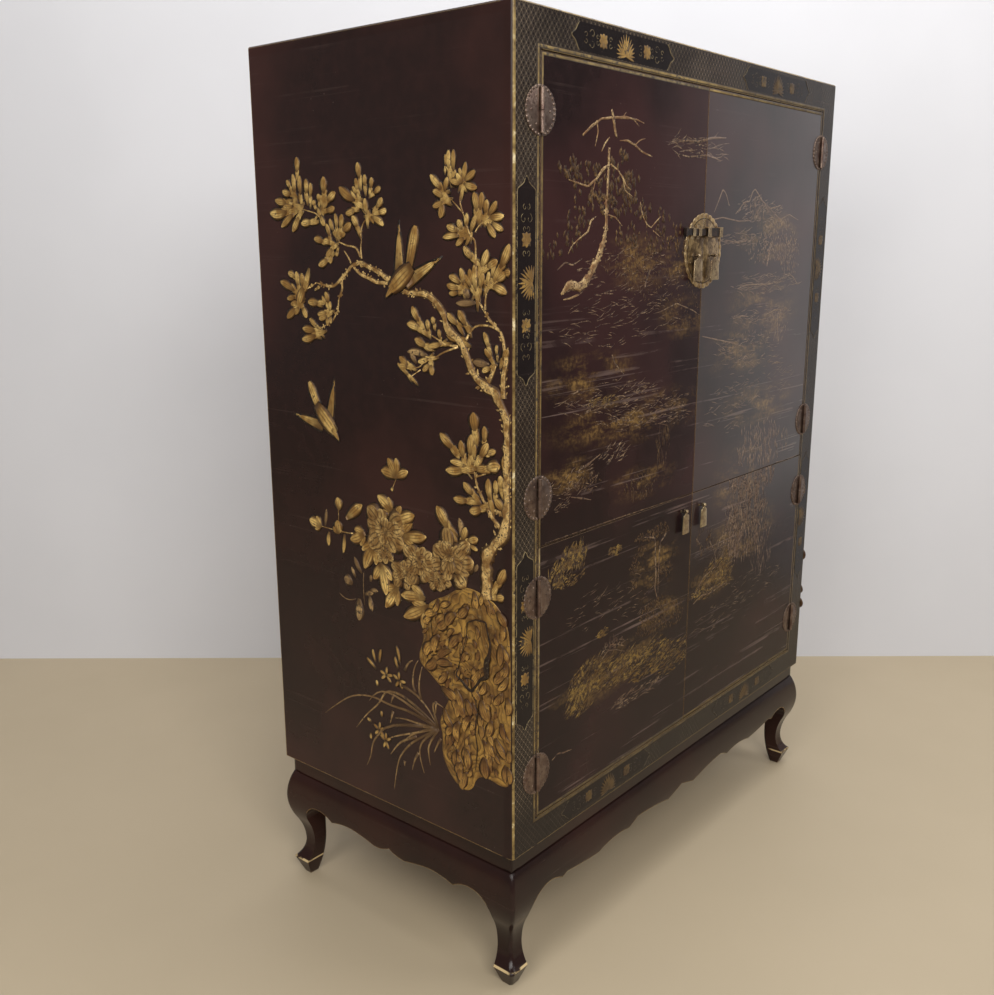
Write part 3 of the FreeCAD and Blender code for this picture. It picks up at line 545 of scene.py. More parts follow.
# Left, top, right, bottom, and whether the panel stands upright.
PANELS = [
    (11, 285, 64, 657, True), (11, 975, 64, 1347, True), (1286, 285, 1339, 657, True),
    (1286, 975, 1339, 1347, True), (165, 11, 522, 60, False), (828, 11, 1185, 60, False),
    (165, 1570, 522, 1612, False), (828, 1570, 1185, 1612, False),
]
bm = bmesh.new()
outlines, ends = [], []
for *box, upright in PANELS:
    outline = ogee_panel(*box, upright)
    add_plate(bm, outline, 0.25)
    if upright:
        outlines.append((outline, [0.9] * len(outline), 0.25))
    else:
        half = len(outline) // 2
        ends += [(part, [1.1] * half, 0.25) for part in (outline[:half], outline[half:])]
finish_piece("border_panels", bm, on_front, border_black, smooth=False, merge=0)

pale_gilt = gilt("pale_gilt", (144, 128, 92), (102, 86, 60), 0.36, ground=(34, 27, 25), gloss=0.25,
                 faded=0.7)
bm = bmesh.new()
add_strokes(bm, outlines, 0.6, closed=True)
add_strokes(bm, ends, 0.6)


def petal(base, angle, length, width, bend=0.0, lift=0.0):
    """A leaf-shaped stroke from its base; angle 0 points up the panel and turns towards the right."""
    points = []
    for share in (0.0, 0.35, 0.72, 1.0):
        turn = math.radians(angle + bend * share)
        reach = length * share
        points.append((base[0] + reach * math.sin(turn), base[1] - reach * math.cos(turn)))
    return points, [width * 0.25, width * 0.85, width, width * 0.12], lift


def scroll(middle, angle, reach):
    """A pair of tendrils that curl away from a stem."""
    strokes = []
    for side in (-1, 1):
        points = []
        for k in range(9):
            turn = math.radians(angle) + side * (0.25 + k * 0.62)
            radius = reach * (0.95 - 0.075 * k)
            centre = math.radians(angle) + side * 0.9
            points.append((middle[0] + reach * 0.55 * math.sin(centre) + radius * 0.5 * math.sin(turn),
                           middle[1] - reach * 0.55 * math.cos(centre) - radius * 0.5 * math.cos(turn)))
        strokes.append((points, [0.7, 0.6, 0.5, 0.5, 0.5, 0.5, 0.5, 0.6, 0.8], 0.25))
    return strokes


def border_ornament(middle, angle):
    """Half chrysanthemum with a square rosette and scrolls on both sides of it, along one border panel."""
    lines, rosettes, leaves = [], [], []
    turn = math.radians(angle)
    along = (math.cos(turn), math.sin(turn))
    out = (math.sin(turn), -math.cos(turn))
    base = (middle[0] - out[0] * 17, middle[1] - out[1] * 17)
    for ring, (count, reach, width) in enumerate(((15, 40, 3.0), (12, 31, 2.8), (9, 21, 2.5))):
        for k in range(count):
            spread = -100 + 200 * k / (count - 1)
            leaves.append(petal(base, angle + spread, reach * (1 - 0.25 * abs(spread) / 100), width,
                                lift=0.25 + 0.2 * ring))
    for side in (-1, 1):
        spot = (middle[0] + along[0] * side * 76, middle[1] + along[1] * side * 76)
        for k in range(8):
            length, width = (16, 5.5) if k % 2 else (13.5, 8.5)
            rosettes.append(petal(spot, angle + 45 * k, length, width, lift=0.3))
        for away, reach, facing in ((106, 19, 90), (57, 12, -90), (128, 12, 90), (99, 11, -90)):
            lines += scroll((middle[0] + along[0] * side * away, middle[1] + along[1] * side * away),
                            angle + facing * side, reach)
    return lines, rosettes, leaves


border_gilt = gilt("border_gilt", (176, 140, 70), (120, 90, 44), 0.30, ground=(34, 27, 25), rim=True,
                   faded=0.7)
flowers = bmesh.new()
for left, top, right, bottom, upright in PANELS:
    middle = ((left + right) / 2, (top + bottom) / 2)
    facing = 0
    if upright:
        facing = -90 if left < 675 else 90
    lines, rosettes, leaves = border_ornament(middle, facing)
    add_strokes(bm, lines, 0.6, sides=0)
    add_strokes(flowers, rosettes, 0.06)
    add_strokes(flowers, leaves, 0.2)
finish_piece("border_scrolls", bm, on_front, pale_gilt)
finish_piece("border_flowers", flowers, on_front, border_gilt)

# ---- The birds, blossom and rock on the sides ----------------------------------------------------
# Raised gilding: the shapes are built up in a paste of lacquer and clay, then gilded and drawn over
# in brown. A blossoming tree grows up from a pierced rock, with birds, peonies and orchids.

PANEL_EDGES = (4, 2, 711, 1620)


def leaf(rng, base_x, base_y, tip_x, tip_y, width, lift=0.0, bend=0.07):
    """A petal or leaf from its root to its pointed tip, slightly bent to one side."""
    away = Vector((tip_x - base_x, tip_y - base_y))
    aside = Vector((away.y, -away.x)) * rng.uniform(-bend, bend)
    points = [tuple(Vector((base_x, base_y)) + away * share + aside * 4 * share * (1 - share))
              for share in (-0.06, 0.28, 0.64, 0.92, 1.05)]
    return points, [width * share for share in (0.40, 1.02, 1.28, 0.86, 0.18)], lift


def lobed(rng, base_x, base_y, tip_x, tip_y, width):
    """A broad leaf with a side lobe on either hand."""
    away = Vector((tip_x - base_x, tip_y - base_y))
    for turn, reach, share, lift in ((-0.62, 0.68, 0.8, 0.0), (0.62, 0.68, 0.8, 0.05),
                                     (0.0, 1.05, 1.0, 0.3)):
        turned = away.copy()
        turned.rotate(Matrix.Rotation(turn + rng.uniform(-0.1, 0.1), 2))
        tip = Vector((base_x, base_y)) + turned * reach
        yield leaf(rng, base_x, base_y, *tip, width * share, lift)


def undergrowth(rng, base_x, base_y, tip_x, tip_y, width):
    """The shorter petals that show between a flower head's outer petals and its stalk."""
    away = Vector((tip_x - base_x, tip_y - base_y))
    for turn, start, reach in ((-0.35, -0.55, 0.25), (0.35, -0.45, 0.40), (0.0, -0.85, 0.05)):
        turned = away.copy()
        turned.rotate(Matrix.Rotation(turn + rng.uniform(-0.2, 0.2), 2))
        root, tip = Vector((base_x, base_y)) + turned * start, Vector((base_x, base_y)) + turned * reach
        yield leaf(rng, *root, *tip, width * 0.78, rng.uniform(0.0, 0.12))


# Petals of the flower heads: root, tip and half width, one head after another down the panel.
PETALS = [
    (139, 258, 139, 228, 7.5), (100, 336, 47, 337, 10), (102, 317, 65, 311, 7.5), (117, 300, 90, 293, 7),
    (127, 300, 125, 261, 7), (115, 287, 104, 272, 6), (147, 300, 147, 265, 7), (165, 300, 165, 272, 7),
    (177, 307, 180, 280, 6), (122, 325, 90, 325, 7), (122, 339, 82, 365, 7.5), (140, 345, 117, 375, 8),
    (178, 357, 146, 360, 7.5), (220, 302, 221, 270, 9), (227, 317, 254, 301, 8), (225, 335, 250, 330, 7),
    (205, 317, 202, 302, 6), (190, 325, 185, 315, 6), (215, 330, 212, 305, 6), (207, 345, 219, 364, 7),
    (202, 342, 187, 355, 3), (212, 397, 185, 391, 7), (225, 432, 196, 444, 7.5), (237, 422, 232, 440, 6),
    (235, 400, 214, 395, 7), (232, 385, 224, 362, 6), (245, 375, 235, 352, 6), (255, 372, 251, 342, 5.5),
    (267, 372, 272, 344, 7.5), (272, 375, 297, 362, 8), (265, 387, 280, 380, 5), (240, 410, 220, 425, 7),
    (255, 415, 250, 425, 5), (327, 275, 322, 247, 7.5), (310, 317, 268, 292, 9), (312, 334, 284, 342, 7),
    (320, 305, 306, 291, 5), (320, 300, 315, 276, 6), (342, 292, 342, 270, 6), (357, 295, 361, 276, 6),
    (367, 305, 385, 296, 6), (372, 332, 388, 315, 7), (377, 342, 400, 338, 6.5), (357, 350, 390, 366, 7),
    (345, 345, 340, 315, 7), (317, 370, 302, 348, 8), (112, 497, 70, 480, 8), (117, 470, 96, 461, 7),
    (127, 490, 122, 459, 8), (140, 490, 140, 462, 8), (115, 512, 89, 516, 6), (125, 522, 100, 527, 7),
    (117, 535, 85, 556, 8), (127, 532, 112, 547, 7), (137, 530, 150, 553, 8), (147, 488, 124, 528, 11),
    (166, 488, 174, 484, 4), (186, 492, 196, 488, 4), (190, 522, 157, 520, 8), (220, 520, 212, 499, 7),
    (215, 525, 202, 507, 5), (225, 537, 226, 517, 5), (215, 540, 186, 545, 6.5), (215, 547, 190, 554, 6),
    (215, 550, 215, 567, 6), (225, 547, 226, 562, 5), (185, 575, 159, 555, 6), (175, 580, 136, 577, 8),
    (176, 590, 133, 600, 8), (565, 272, 564, 237, 6), (575, 272, 576, 237, 5.5), (556, 263, 556, 243, 4),
    (596, 296, 605, 260, 6), (600, 290, 627, 275, 6.5), (600, 296, 631, 304, 6.5),
    (596, 296, 583, 278, 6), (592, 296, 568, 290, 6), (594, 285, 589, 269, 4), (547, 304, 518, 278, 7),
    (553, 307, 561, 284, 6), (550, 319, 524, 306, 6.5), (550, 326, 523, 334, 6), (546, 328, 540, 354, 8),
    (630, 345, 624, 313, 8), (639, 343, 643, 313, 7), (653, 351, 655, 326, 7), (658, 351, 677, 329, 6.5),
    (659, 356, 693, 354, 7), (667, 365, 692, 378, 6), (655, 366, 674, 390, 7), (605, 372, 606, 348, 6),
    (595, 375, 586, 359, 7), (586, 378, 558, 369, 7), (586, 387, 548, 390, 6), (600, 390, 580, 404, 6),
    (615, 381, 630, 351, 6), (621, 428, 599, 407, 7), (639, 443, 655, 413, 8), (653, 443, 678, 431, 8),
    (665, 460, 674, 437, 5), (674, 466, 697, 454, 7), (665, 475, 699, 488, 8), (686, 443, 706, 404, 9),
    (694, 454, 708, 452, 7), (627, 484, 624, 440, 7), (621, 475, 612, 447, 7), (615, 478, 600, 457, 6),
    (636, 481, 645, 454, 7), (653, 475, 659, 451, 5), (597, 475, 590, 446, 7), (589, 472, 562, 460, 7),
    (586, 481, 556, 476, 7), (583, 490, 561, 491, 5), (580, 548, 556, 529, 7), (602, 548, 584, 523, 8),
    (586, 578, 553, 566, 8), (480, 546, 464, 520, 8), (483, 563, 450, 553, 8), (506, 563, 503, 543, 6),
    (521, 551, 518, 537, 6), (498, 593, 470, 581, 8), (539, 587, 506, 593, 6), (536, 578, 533, 560, 5),
    (506, 616, 477, 625, 6), (506, 628, 489, 641, 6), (512, 628, 514, 648, 7), (450, 634, 426, 619, 7),
    (448, 637, 424, 637, 7), (450, 654, 420, 632, 5), (656, 587, 646, 560, 6), (662, 607, 648, 590, 6),
    (677, 599, 677, 581, 4), (662, 625, 642, 632, 6), (692, 607, 703, 588, 7), (622, 747, 619, 712, 11),
    (645, 765, 646, 735, 7), (567, 787, 533, 761, 9), (575, 795, 567, 780, 6), (592, 800, 586, 769, 8),
    (610, 795, 614, 755, 9), (620, 800, 622, 772, 6), (635, 795, 654, 767, 9), (650, 787, 673, 779, 6.5),
    (650, 815, 683, 807, 11), (600, 817, 560, 812, 7), (595, 825, 548, 831, 9), (617, 870, 593, 850, 8),
    (602, 885, 567, 885, 8), (637, 895, 608, 904, 9), (660, 875, 655, 835, 8), (672, 862, 672, 835, 7),
    (687, 850, 684, 825, 8), (692, 890, 672, 872, 9), (700, 825, 695, 785, 9), (675, 1042, 695, 1007, 9),
    (672, 1067, 692, 1062, 8), (550, 950, 521, 910, 12), (587, 965, 597, 940, 8), (602, 965, 627, 957, 8),
    (605, 972, 627, 980, 5),
]
# Broad leaves and the single drifting flower. A leaf wider than this half width has three lobes.
LOBED_FROM = 12.5
LEAVES = [
    (393, 943, 353, 917, 13), (400, 960, 450, 935, 14), (420, 987, 483, 977, 13),
    (307, 1003, 267, 1023, 13), (337, 1023, 310, 1077, 15), (253, 977, 300, 942, 12),
    (227, 962, 225, 937, 12), (222, 1016, 222, 990, 13), (167, 1010, 132, 1002, 13),
    (193, 1020, 190, 1050, 7), (243, 1017, 237, 1058, 6), (355, 1062, 363, 1123, 15),
    (403, 1103, 368, 1150, 13), (480, 1110, 420, 1120, 13), (490, 1127, 430, 1167, 14),
    (405, 865, 366, 857, 12), (405, 865, 385, 830, 11), (405, 865, 408, 827, 10),
    (405, 865, 440, 850, 10), (397, 888, 392, 896, 4),
]
DULL_LEAVES = [
    (627, 507, 580, 509, 7), (609, 498, 598, 481, 8), (503, 613, 450, 607, 7), (471, 628, 456, 610, 6),
    (656, 619, 620, 615, 8), (585, 965, 580, 925, 8), (618, 1025, 626, 1010, 5), (180, 1007, 187, 970, 5),
    (293, 1093, 273, 1063, 6), (273, 1107, 263, 1087, 5), (262, 1124, 238, 1116, 12),
    (320, 1107, 323, 1093, 5), (320, 1127, 342, 1125, 5), (303, 1140, 327, 1133, 6),
    (283, 1157, 280, 1203, 13), (317, 1143, 323, 1173, 8),
]
# Trunk, boughs and twigs: the middle line and the half width at each point.
TRUNK = [
    ([(650, 1075), (650, 1050), (647, 1012), (655, 982), (670, 960), (692, 937), (700, 905), (700, 800),
     (699, 720), (675, 672), (636, 654), (612, 631), (603, 604), (586, 578), (556, 560), (545, 531),
     (524, 507), (495, 494), (450, 494), (415, 478), (375, 457), (322, 437), (295, 444), (275, 462),
     (242, 485), (220, 487), (185, 480)], [18, 16, 17, 18, 17, 15, 12, 11, 11, 12, 11, 10, 10, 10, 10, 9,
     8.5, 8, 7.5, 6.5, 5.5, 5, 4.5, 4.5, 4, 3.5, 2]),
    ([(300, 447), (320, 460), (365, 475), (405, 478)], [2.5, 5, 5, 4]),
    ([(266, 470), (265, 490), (252, 515), (251, 532), (230, 560), (200, 570), (180, 592)], [3.5, 3.2, 3,
     2.6, 2.2, 2, 1.2]),
    ([(675, 895), (655, 887), (645, 882), (625, 850), (621, 830), (615, 807)], [4, 4, 4, 3.6, 3, 1.4]),
    ([(650, 892), (670, 915), (688, 930)], [5, 6, 6]), ([(700, 905), (690, 897), (672, 893)], [7, 6, 4]),
    ([(692, 678), (692, 637), (700, 607), (692, 575), (686, 557), (659, 537), (648, 522)], [9, 6.5, 6, 5,
     4.5, 4, 3.4]), ([(656, 651), (671, 628), (674, 619)], [6, 5, 3]),
]
TWIGS = [
    ([(322, 427), (315, 410), (300, 406), (282, 405), (260, 397)], [3.5, 3, 2.6, 2.2, 1.6]),
    ([(295, 440), (286, 425), (275, 415)], [3, 2.6, 1.4]),
    ([(326, 430), (322, 410), (327, 395)], [3, 2.4, 1.6]),
    ([(327, 395), (325, 387), (327, 375), (335, 357), (350, 350)], [1.8, 2, 2, 1.8, 1]),
    ([(147, 330), (180, 337), (200, 342), (232, 372)], [1.2, 1.8, 1.8, 1.6]),
    ([(165, 490), (147, 495)], [1.2, 1.4]), ([(185, 480), (175, 486), (165, 490)], [2, 1.4, 1]),
    ([(598, 348), (583, 334), (568, 322)], [2, 1.8, 1]),
    ([(596, 296), (592, 313), (589, 328), (598, 348)], [1, 1.8, 2, 2]),
    ([(627, 381), (636, 366), (652, 362)], [2, 1.8, 1]),
    ([(628, 470), (628, 431), (627, 401), (624, 393), (612, 387), (598, 348)], [3, 3, 2.8, 2.6, 2.4,
     1.6]), ([(648, 522), (633, 501), (620, 495)], [3.4, 2.6, 1.4]),
    ([(650, 519), (648, 490), (659, 481)], [3, 2.6, 1.6]),
    ([(603, 575), (615, 557), (630, 547), (668, 547), (686, 557)], [3.4, 2.8, 2.6, 2.6, 3]),
    ([(583, 588), (556, 590), (542, 584), (521, 575), (506, 569)], [3, 2.6, 2.2, 2, 1.2]),
    ([(583, 590), (556, 598), (535, 607), (520, 616), (495, 620), (481, 637), (459, 637), (450, 634)],
     [3, 2.6, 2.2, 2, 1.8, 1.6, 1.4, 1]), ([(483, 640), (459, 654)], [1.6, 1]),
    ([(615, 840), (595, 822)], [2.6, 1.4]), ([(622, 835), (650, 825)], [2.6, 1.4]),
    ([(407, 870), (397, 888)], [1.4, 1.2]), ([(263, 1010), (215, 1012), (167, 1010)], [2, 1.6, 1.2]),
    ([(305, 1002), (263, 1010)], [2, 2]), ([(222, 1003), (228, 985), (226, 960)], [1.2, 1.2, 1]),
]
GRASS_STEMS = [
    ([(273, 1157), (243, 1172), (220, 1155)], [1.2, 1.6, 1]),
    ([(300, 1165), (296, 1130), (300, 1092)], [1.4, 1.2, 0.8]),
]


def gnarled(rng, points, widths):
    """The same bough with knots and hollows in its outline."""
    line, reach = [], []
    for (a, b), (wide, next_wide) in zip(zip(points, points[1:]), zip(widths, widths[1:])):
        run = Vector(b) - Vector(a)
        parts = max(1, int(run.length / 9))
        for k in range(parts):
            share = k / parts
            across = Vector((run.y, -run.x)).normalized() * rng.uniform(-0.16, 0.16) * wide
            line.append(tuple(Vector(a) + run * share + across))
            reach.append((wide + (next_wide - wide) * share) * rng.uniform(0.70, 1.22))
    return line + [points[-1]], reach + [widths[-1]]


def rough_lines(rng, lines, lift=0.0):
    return [(*gnarled(rng, points, widths), lift) for points, widths in lines]


def spurs(rng, points, widths):
    """Scales of bark along a bough's two edges, leaning the way it grows."""
    grown = []
    for (a, b), width in zip(zip(points, points[1:]), widths):
        run = Vector(b) - Vector(a)
        for k in range(int(run.length / 7)):
            across = Vector((run.y, -run.x)).normalized() * rng.choice((-1, 1))
            base = Vector(a) + run * rng.random() + across * width * rng.uniform(0.25, 0.55)
            way = across + run.normalized() * rng.uniform(0.3, 1.5)
            reach = rng.uniform(0.4, 0.75) * width + 4
            grown.append(petal(base, math.degrees(math.atan2(way.x, -way.y)), reach, rng.uniform(2.2, 3.6),
                               lift=rng.uniform(0.0, 0.3)))
    return grown


side_leaf = gilt("side_leaf_gilt", (236, 200, 122), (150, 112, 56), 0.14, veins=0.65, rim=True, scale=1.5)
side_bark = gilt("side_bark_gilt", (224, 188, 120), (128, 94, 50), 0.28, scale=2.4, rim=True)
dull_leaf = gilt("dull_leaf_gilt", (196, 162, 108), (124, 96, 62), 0.30, veins=0.4)
flower_leaf = gilt("flower_leaf_gilt", (206, 172, 108), (124, 90, 46), 0.22, veins=0.75, rim=True,
                   scale=1.8)


def feathered(beak, head, breast, rump, limbs):
    """A small bird seen from the side: beak, head and body over its wings and tail."""
    strokes = []
    for root, tip, at_root, at_tip in limbs:
        away = Vector(tip) - Vector(root)
        aside = Vector((away.y, -away.x)).normalized()
        for turn, reach, share, lift in ((0.0, 1.0, 1.0, 0.0), (0.45, 0.86, 0.5, 0.3),
                                         (-0.45, 0.80, 0.5, 0.35)):
            start = Vector(root) + aside * at_root * turn
            end = start + (away - aside * (at_root - at_tip) * turn * 0.8) * reach
            middle = (start + end) / 2
            fuller = max(at_root, at_tip) * share
            near = start + (end - start) * 0.88
            widths = [at_root * share, fuller * 0.9, at_tip * share + fuller * 0.1, at_tip * share * 0.4]
            strokes.append(([tuple(start), tuple(middle), tuple(near), tuple(end)], widths, lift))
    strokes.append(([rump, breast, head], [11, 30, 12], 1.0))
    neck = ((breast[0] + head[0]) / 2, (breast[1] + head[1]) / 2)
    strokes.append(([neck, head, beak], [10, 11, 0.8], 1.5))
    return strokes


BIRDS = [
    ((391, 505), (406, 489), (436, 466), (466, 444),
     [((450, 470), (477, 368), 8, 15), ((430, 470), (433, 356), 15, 0.8),
      ((448, 476), (546, 424), 15, 0.8)]),
    ((240, 811), (228, 795), (197, 768), (168, 738),
     [((190, 772), (148, 690), 8, 14), ((206, 780), (232, 672), 14, 0.8),
      ((188, 784), (90, 764), 14, 0.8)]),
]
# Full peonies: middle and half size across and down.
PEONIES = [
    (520, 1062, 34, 28), (425, 1068, 40, 34), (365, 1028, 30, 30), (468, 1040, 46, 44),
    (367, 985, 64, 50), (556, 1018, 56, 60),
]


def peony(rng, middle_x, middle_y, half_wide, half_tall):
    """A full flower of broad overlapping petals in rings round its heart, the inner rings on top."""
    strokes = []
    sway = (rng.uniform(-0.10, 0.10), rng.uniform(-0.12, 0.04))
    rings = ((9, 0.36, 1.04, 0.36), (7, 0.20, 0.78, 0.32), (6, 0.08, 0.50, 0.26), (4, 0.0, 0.30, 0.17))
    for ring, (count, start, end, width) in enumerate(rings):
        for k in range(count):
            turn = math.radians(360 * k / count + ring * 23 + rng.uniform(-24, 24))
            way = Vector((math.sin(turn) * half_wide, -math.cos(turn) * half_tall))
            heart = Vector((middle_x + half_wide * sway[0] * ring, middle_y + half_tall * sway[1] * ring))
            root = heart + way * start
            tip = heart + way * end * rng.uniform(0.72, 1.16)
            strokes.append(leaf(rng, *root, *tip, half_wide * width * rng.uniform(0.85, 1.1),
                                0.1 + 0.5 * ring + rng.uniform(0.0, 0.3)))
    return strokes


# Orchids: grass-like blades rise out of the rock's foot and hang over to the left.
BLADES = [
    [(515, 1392), (445, 1375), (370, 1381), (318, 1373), (251, 1389), (198, 1426), (154, 1462)],
    [(515, 1392), (440, 1350), (362, 1342), (340, 1381), (318, 1403), (290, 1428), (259, 1467)],
    [(480, 1380), (400, 1350), (329, 1353), (304, 1389)],
    [(515, 1392), (446, 1437), (407, 1478), (387, 1514), (376, 1581)],
    [(450, 1430), (407, 1451), (382, 1478), (368, 1498)],
    [(515, 1392), (473, 1426), (457, 1453), (459, 1481), (470, 1509)],
    [(454, 1467), (440, 1487), (434, 1514)], [(515, 1392), (484, 1434), (484, 1462), (489, 1484)],
    [(521, 1412), (507, 1434), (501, 1450)], [(515, 1392), (423, 1426), (412, 1456)],
    [(411, 1500), (411, 1512)],
    [(470, 1400), (370, 1420), (318, 1475), (308, 1500), (304, 1525), (290, 1550)],
    [(407, 1323), (443, 1328), (473, 1345), (495, 1364), (515, 1392)],
    [(418, 1287), (429, 1262), (443, 1257)], [(450, 1328), (440, 1320), (445, 1270), (459, 1253)],
    [(465, 1340), (459, 1323), (462, 1287), (470, 1264)],
    [(515, 1392), (495, 1345), (507, 1331), (529, 1339)], [(508, 1331), (507, 1359)],
    [(515, 1392), (473, 1400), (418, 1409), (376, 1425)],
    [(515, 1392), (459, 1398), (412, 1398), (384, 1406)], [(382, 1353), (373, 1375)],
    [(379, 1392), (368, 1428)], [(500, 1392), (465, 1414), (432, 1428), (382, 1450), (362, 1462)],
]
ORCHID_FLOWERS = [(362, 1312), (401, 1314), (334, 1450), (354, 1470)]
ORCHID_PETALS = [
    (309, 1437, 296, 1434, 4), (307, 1466, 306, 1480, 4), (343, 1416, 343, 1402, 4),
    (332, 1346, 331, 1332, 4), (329, 1306, 301, 1287, 4), (329, 1289, 321, 1262, 4),
    (341, 1287, 347, 1256, 4), (398, 1287, 390, 1262, 4), (404, 1275, 395, 1237, 4),
]


def outline_curve(points):
    """A closed outline with its corners rounded off."""
    for _ in range(2):
        rounded = []
        for a, b in zip(points, points[1:] + points[:1]):
            rounded += [(a[0] * 0.75 + b[0] * 0.25, a[1] * 0.75 + b[1] * 0.25),
                        (a[0] * 0.25 + b[0] * 0.75, a[1] * 0.25 + b[1] * 0.75)]
        points = rounded
    return points


def inside(point, outline):
    crossings = 0
    for a, b in zip(outline, outline[1:] + outline[:1]):
        if (a[1] > point[1]) != (b[1] > point[1]):
            if point[0] < a[0] + (point[1] - a[1]) * (b[0] - a[0]) / (b[1] - a[1]):
                crossings += 1
    return crossings % 2 == 1


def to_outline(point, outline):
    """The outline's point that lies nearest, and its distance."""
    best = None
    for a, b in zip(outline, outline[1:] + outline[:1]):
        a, b = Vector((*a, 0)), Vector((*b, 0))
        near, share = geometry.intersect_point_line(point, a, b)
        near = a if share < 0 else b if share > 1 else near
        gap = (near - point).length
        if best is None or gap < best[1]:
            best = (near, gap)
    return best


def add_relief(bm, outline, pitch, height, fold, seed, shoulder):
    """Adds a low cushion with this outline, modelled in swirling folds that run along its edge."""
    outline = outline_curve(outline)
    xs, ys = [p[0] for p in outline], [p[1] for p in outline]
    wide, tall = max(xs) - min(xs), max(ys) - min(ys)
    sheet = bmesh.new()
    contour = sheet.verts.layers.float.new("contour")
    place = Matrix.Translation(((max(xs) + min(xs)) / 2, (max(ys) + min(ys)) / 2, 0))
    bmesh.ops.create_grid(sheet, x_segments=int(wide / pitch), y_segments=int(tall / pitch), size=0.5,
                          matrix=place @ Matrix.Diagonal((wide, tall, 1, 1)))
    outer = [f for f in sheet.faces if not inside(f.calc_center_median(), outline)]
    bmesh.ops.delete(sheet, geom=outer, context="FACES")
    for vert in sheet.verts:
        near, gap = to_outline(vert.co, outline)
        if vert.is_boundary:
            vert.co = near
            continue
        where = Vector((vert.co.x, vert.co.y, seed * 71.0)) / 52.0
        swirl = 2.4 * noise.noise(where) + 0.9 * noise.noise(where * 2.7)
        folds = gap / fold + swirl + vert.co.y / 190.0
        vert[contour] = folds
        rise = 1 - math.exp(-gap / shoulder)
        vert.co.z = height * rise * (0.72 - 0.28 * math.cos(2 * math.pi * folds))
    rim = [e for e in sheet.edges if e.is_boundary]
    skirt = bmesh.ops.extrude_edge_only(sheet, edges=rim)["geom"]
    bmesh.ops.translate(sheet, verts=corners(skirt), vec=(0, 0, -0.4))
    bmesh.ops.edgeloop_fill(sheet, edges=[g for g in skirt if isinstance(g, bmesh.types.BMEdge)])
    join(sheet, bm)


def inked(name, gold, deep, wear, share):
    """Gilding over modelled folds, with a brown line in each fold, painted shade that darkens each fold
    from its hollow towards its crest, and brown blots.
    """
    material, tree, surface = new_finish(name)
    leaf_gold = use(tree, gilding, Gold=tint(*gold), Deep=tint(*deep), Wear=wear, Scale=1.3)
    folds = add(tree, "Attribute", attribute_name="contour").outputs["Fac"]
    part = calc(tree, "FRACT", calc(tree, "ADD", folds, 40.0))
    line_at = calc(tree, "MINIMUM", part, calc(tree, "SUBTRACT", 1.0, part))
    blot = grain(tree, 30.0, detail=5.0, rough=0.65)
    drawn = step(tree, calc(tree, "ADD", line_at, times(tree, blot, 0.25)), 0.26, 0.14)
    # Painted shade: each fold is darkened from its hollow, where the brown line runs, towards its crest.
    dark = times(tree, step(tree, part, 0.6, 0.1), 0.4)
    fold_shade_and_blots = calc(tree, "ADD", dark, step(tree, blot, 0.5, 0.7, 0.0, 0.3))
    shade = calc(tree, "MAXIMUM", times(tree, drawn, share), fold_shade_and_blots)
    dress(tree, surface, mix(tree, shade, leaf_gold["Color"], tint(50, 32, 20)), leaf_gold["Roughness"],
          leaf_gold["Height"], 0.0004, leaf_gold["Metallic"])
    return material


# Dark brown for the rock's hole and drawn lines, and for the outlines under the petals, where it is also
# painted shade between them.
brown_line_and_shade = gilt("brown_line_and_shade", (52, 33, 22), (32, 21, 15), 0.1, scale=2.0)
rock_gilt = inked("rock_gilt", (176, 136, 66), (118, 84, 40), 0.08, share=0.7)
stone_leaf = gilt("stone_leaf_gilt", (196, 152, 78), (112, 76, 38), 0.16, veins=0.6, rim=True, scale=1.6)
ROCK = [
    (567, 1073), (600, 1060), (640, 1067), (673, 1080), (697, 1107), (709, 1147), (710, 1300),
    (709, 1453), (693, 1467), (640, 1457), (617, 1473), (610, 1497), (587, 1510), (557, 1497),
    (533, 1467), (523, 1433), (527, 1400), (517, 1373), (533, 1340), (547, 1313), (552, 1296),
    (525, 1296), (495, 1273), (467, 1258), (460, 1240), (478, 1200), (472, 1167), (480, 1133),
    (507, 1107), (540, 1093),
]
ROCK_FACETS = 150
# The pierced hole and the crevices: middle line and half widths.
CREVICES = [
    ([(574, 1240), (585, 1205), (598, 1165), (600, 1134), (622, 1123), (649, 1122), (652, 1140), (661,
     1167), (658, 1188), (651, 1205), (650, 1222), (652, 1236), (634, 1246), (622, 1264), (611, 1279),
     (598, 1276), (585, 1264), (566, 1255), (574, 1240)], [1.2, 1, 1, 1.2, 1.6, 2, 2.2, 3, 5, 8, 8, 6, 3,
     3, 3.4, 3.4, 3, 2.4, 1.2]), ([(592, 1256), (604, 1250), (616, 1256)], [1, 1.8, 1]),
    ([(618, 1288), (626, 1320), (618, 1360), (625, 1400), (619, 1450)], [0.8, 1.6, 1.2, 1.6, 0.8]),
    ([(520, 1110), (500, 1150), (506, 1200), (486, 1240)], [0.8, 1.2, 1.2, 0.8]),
    ([(540, 1360), (558, 1372), (552, 1400), (568, 1425), (564, 1460)], [0.8, 1.2, 1, 1.2, 0.8]),
]

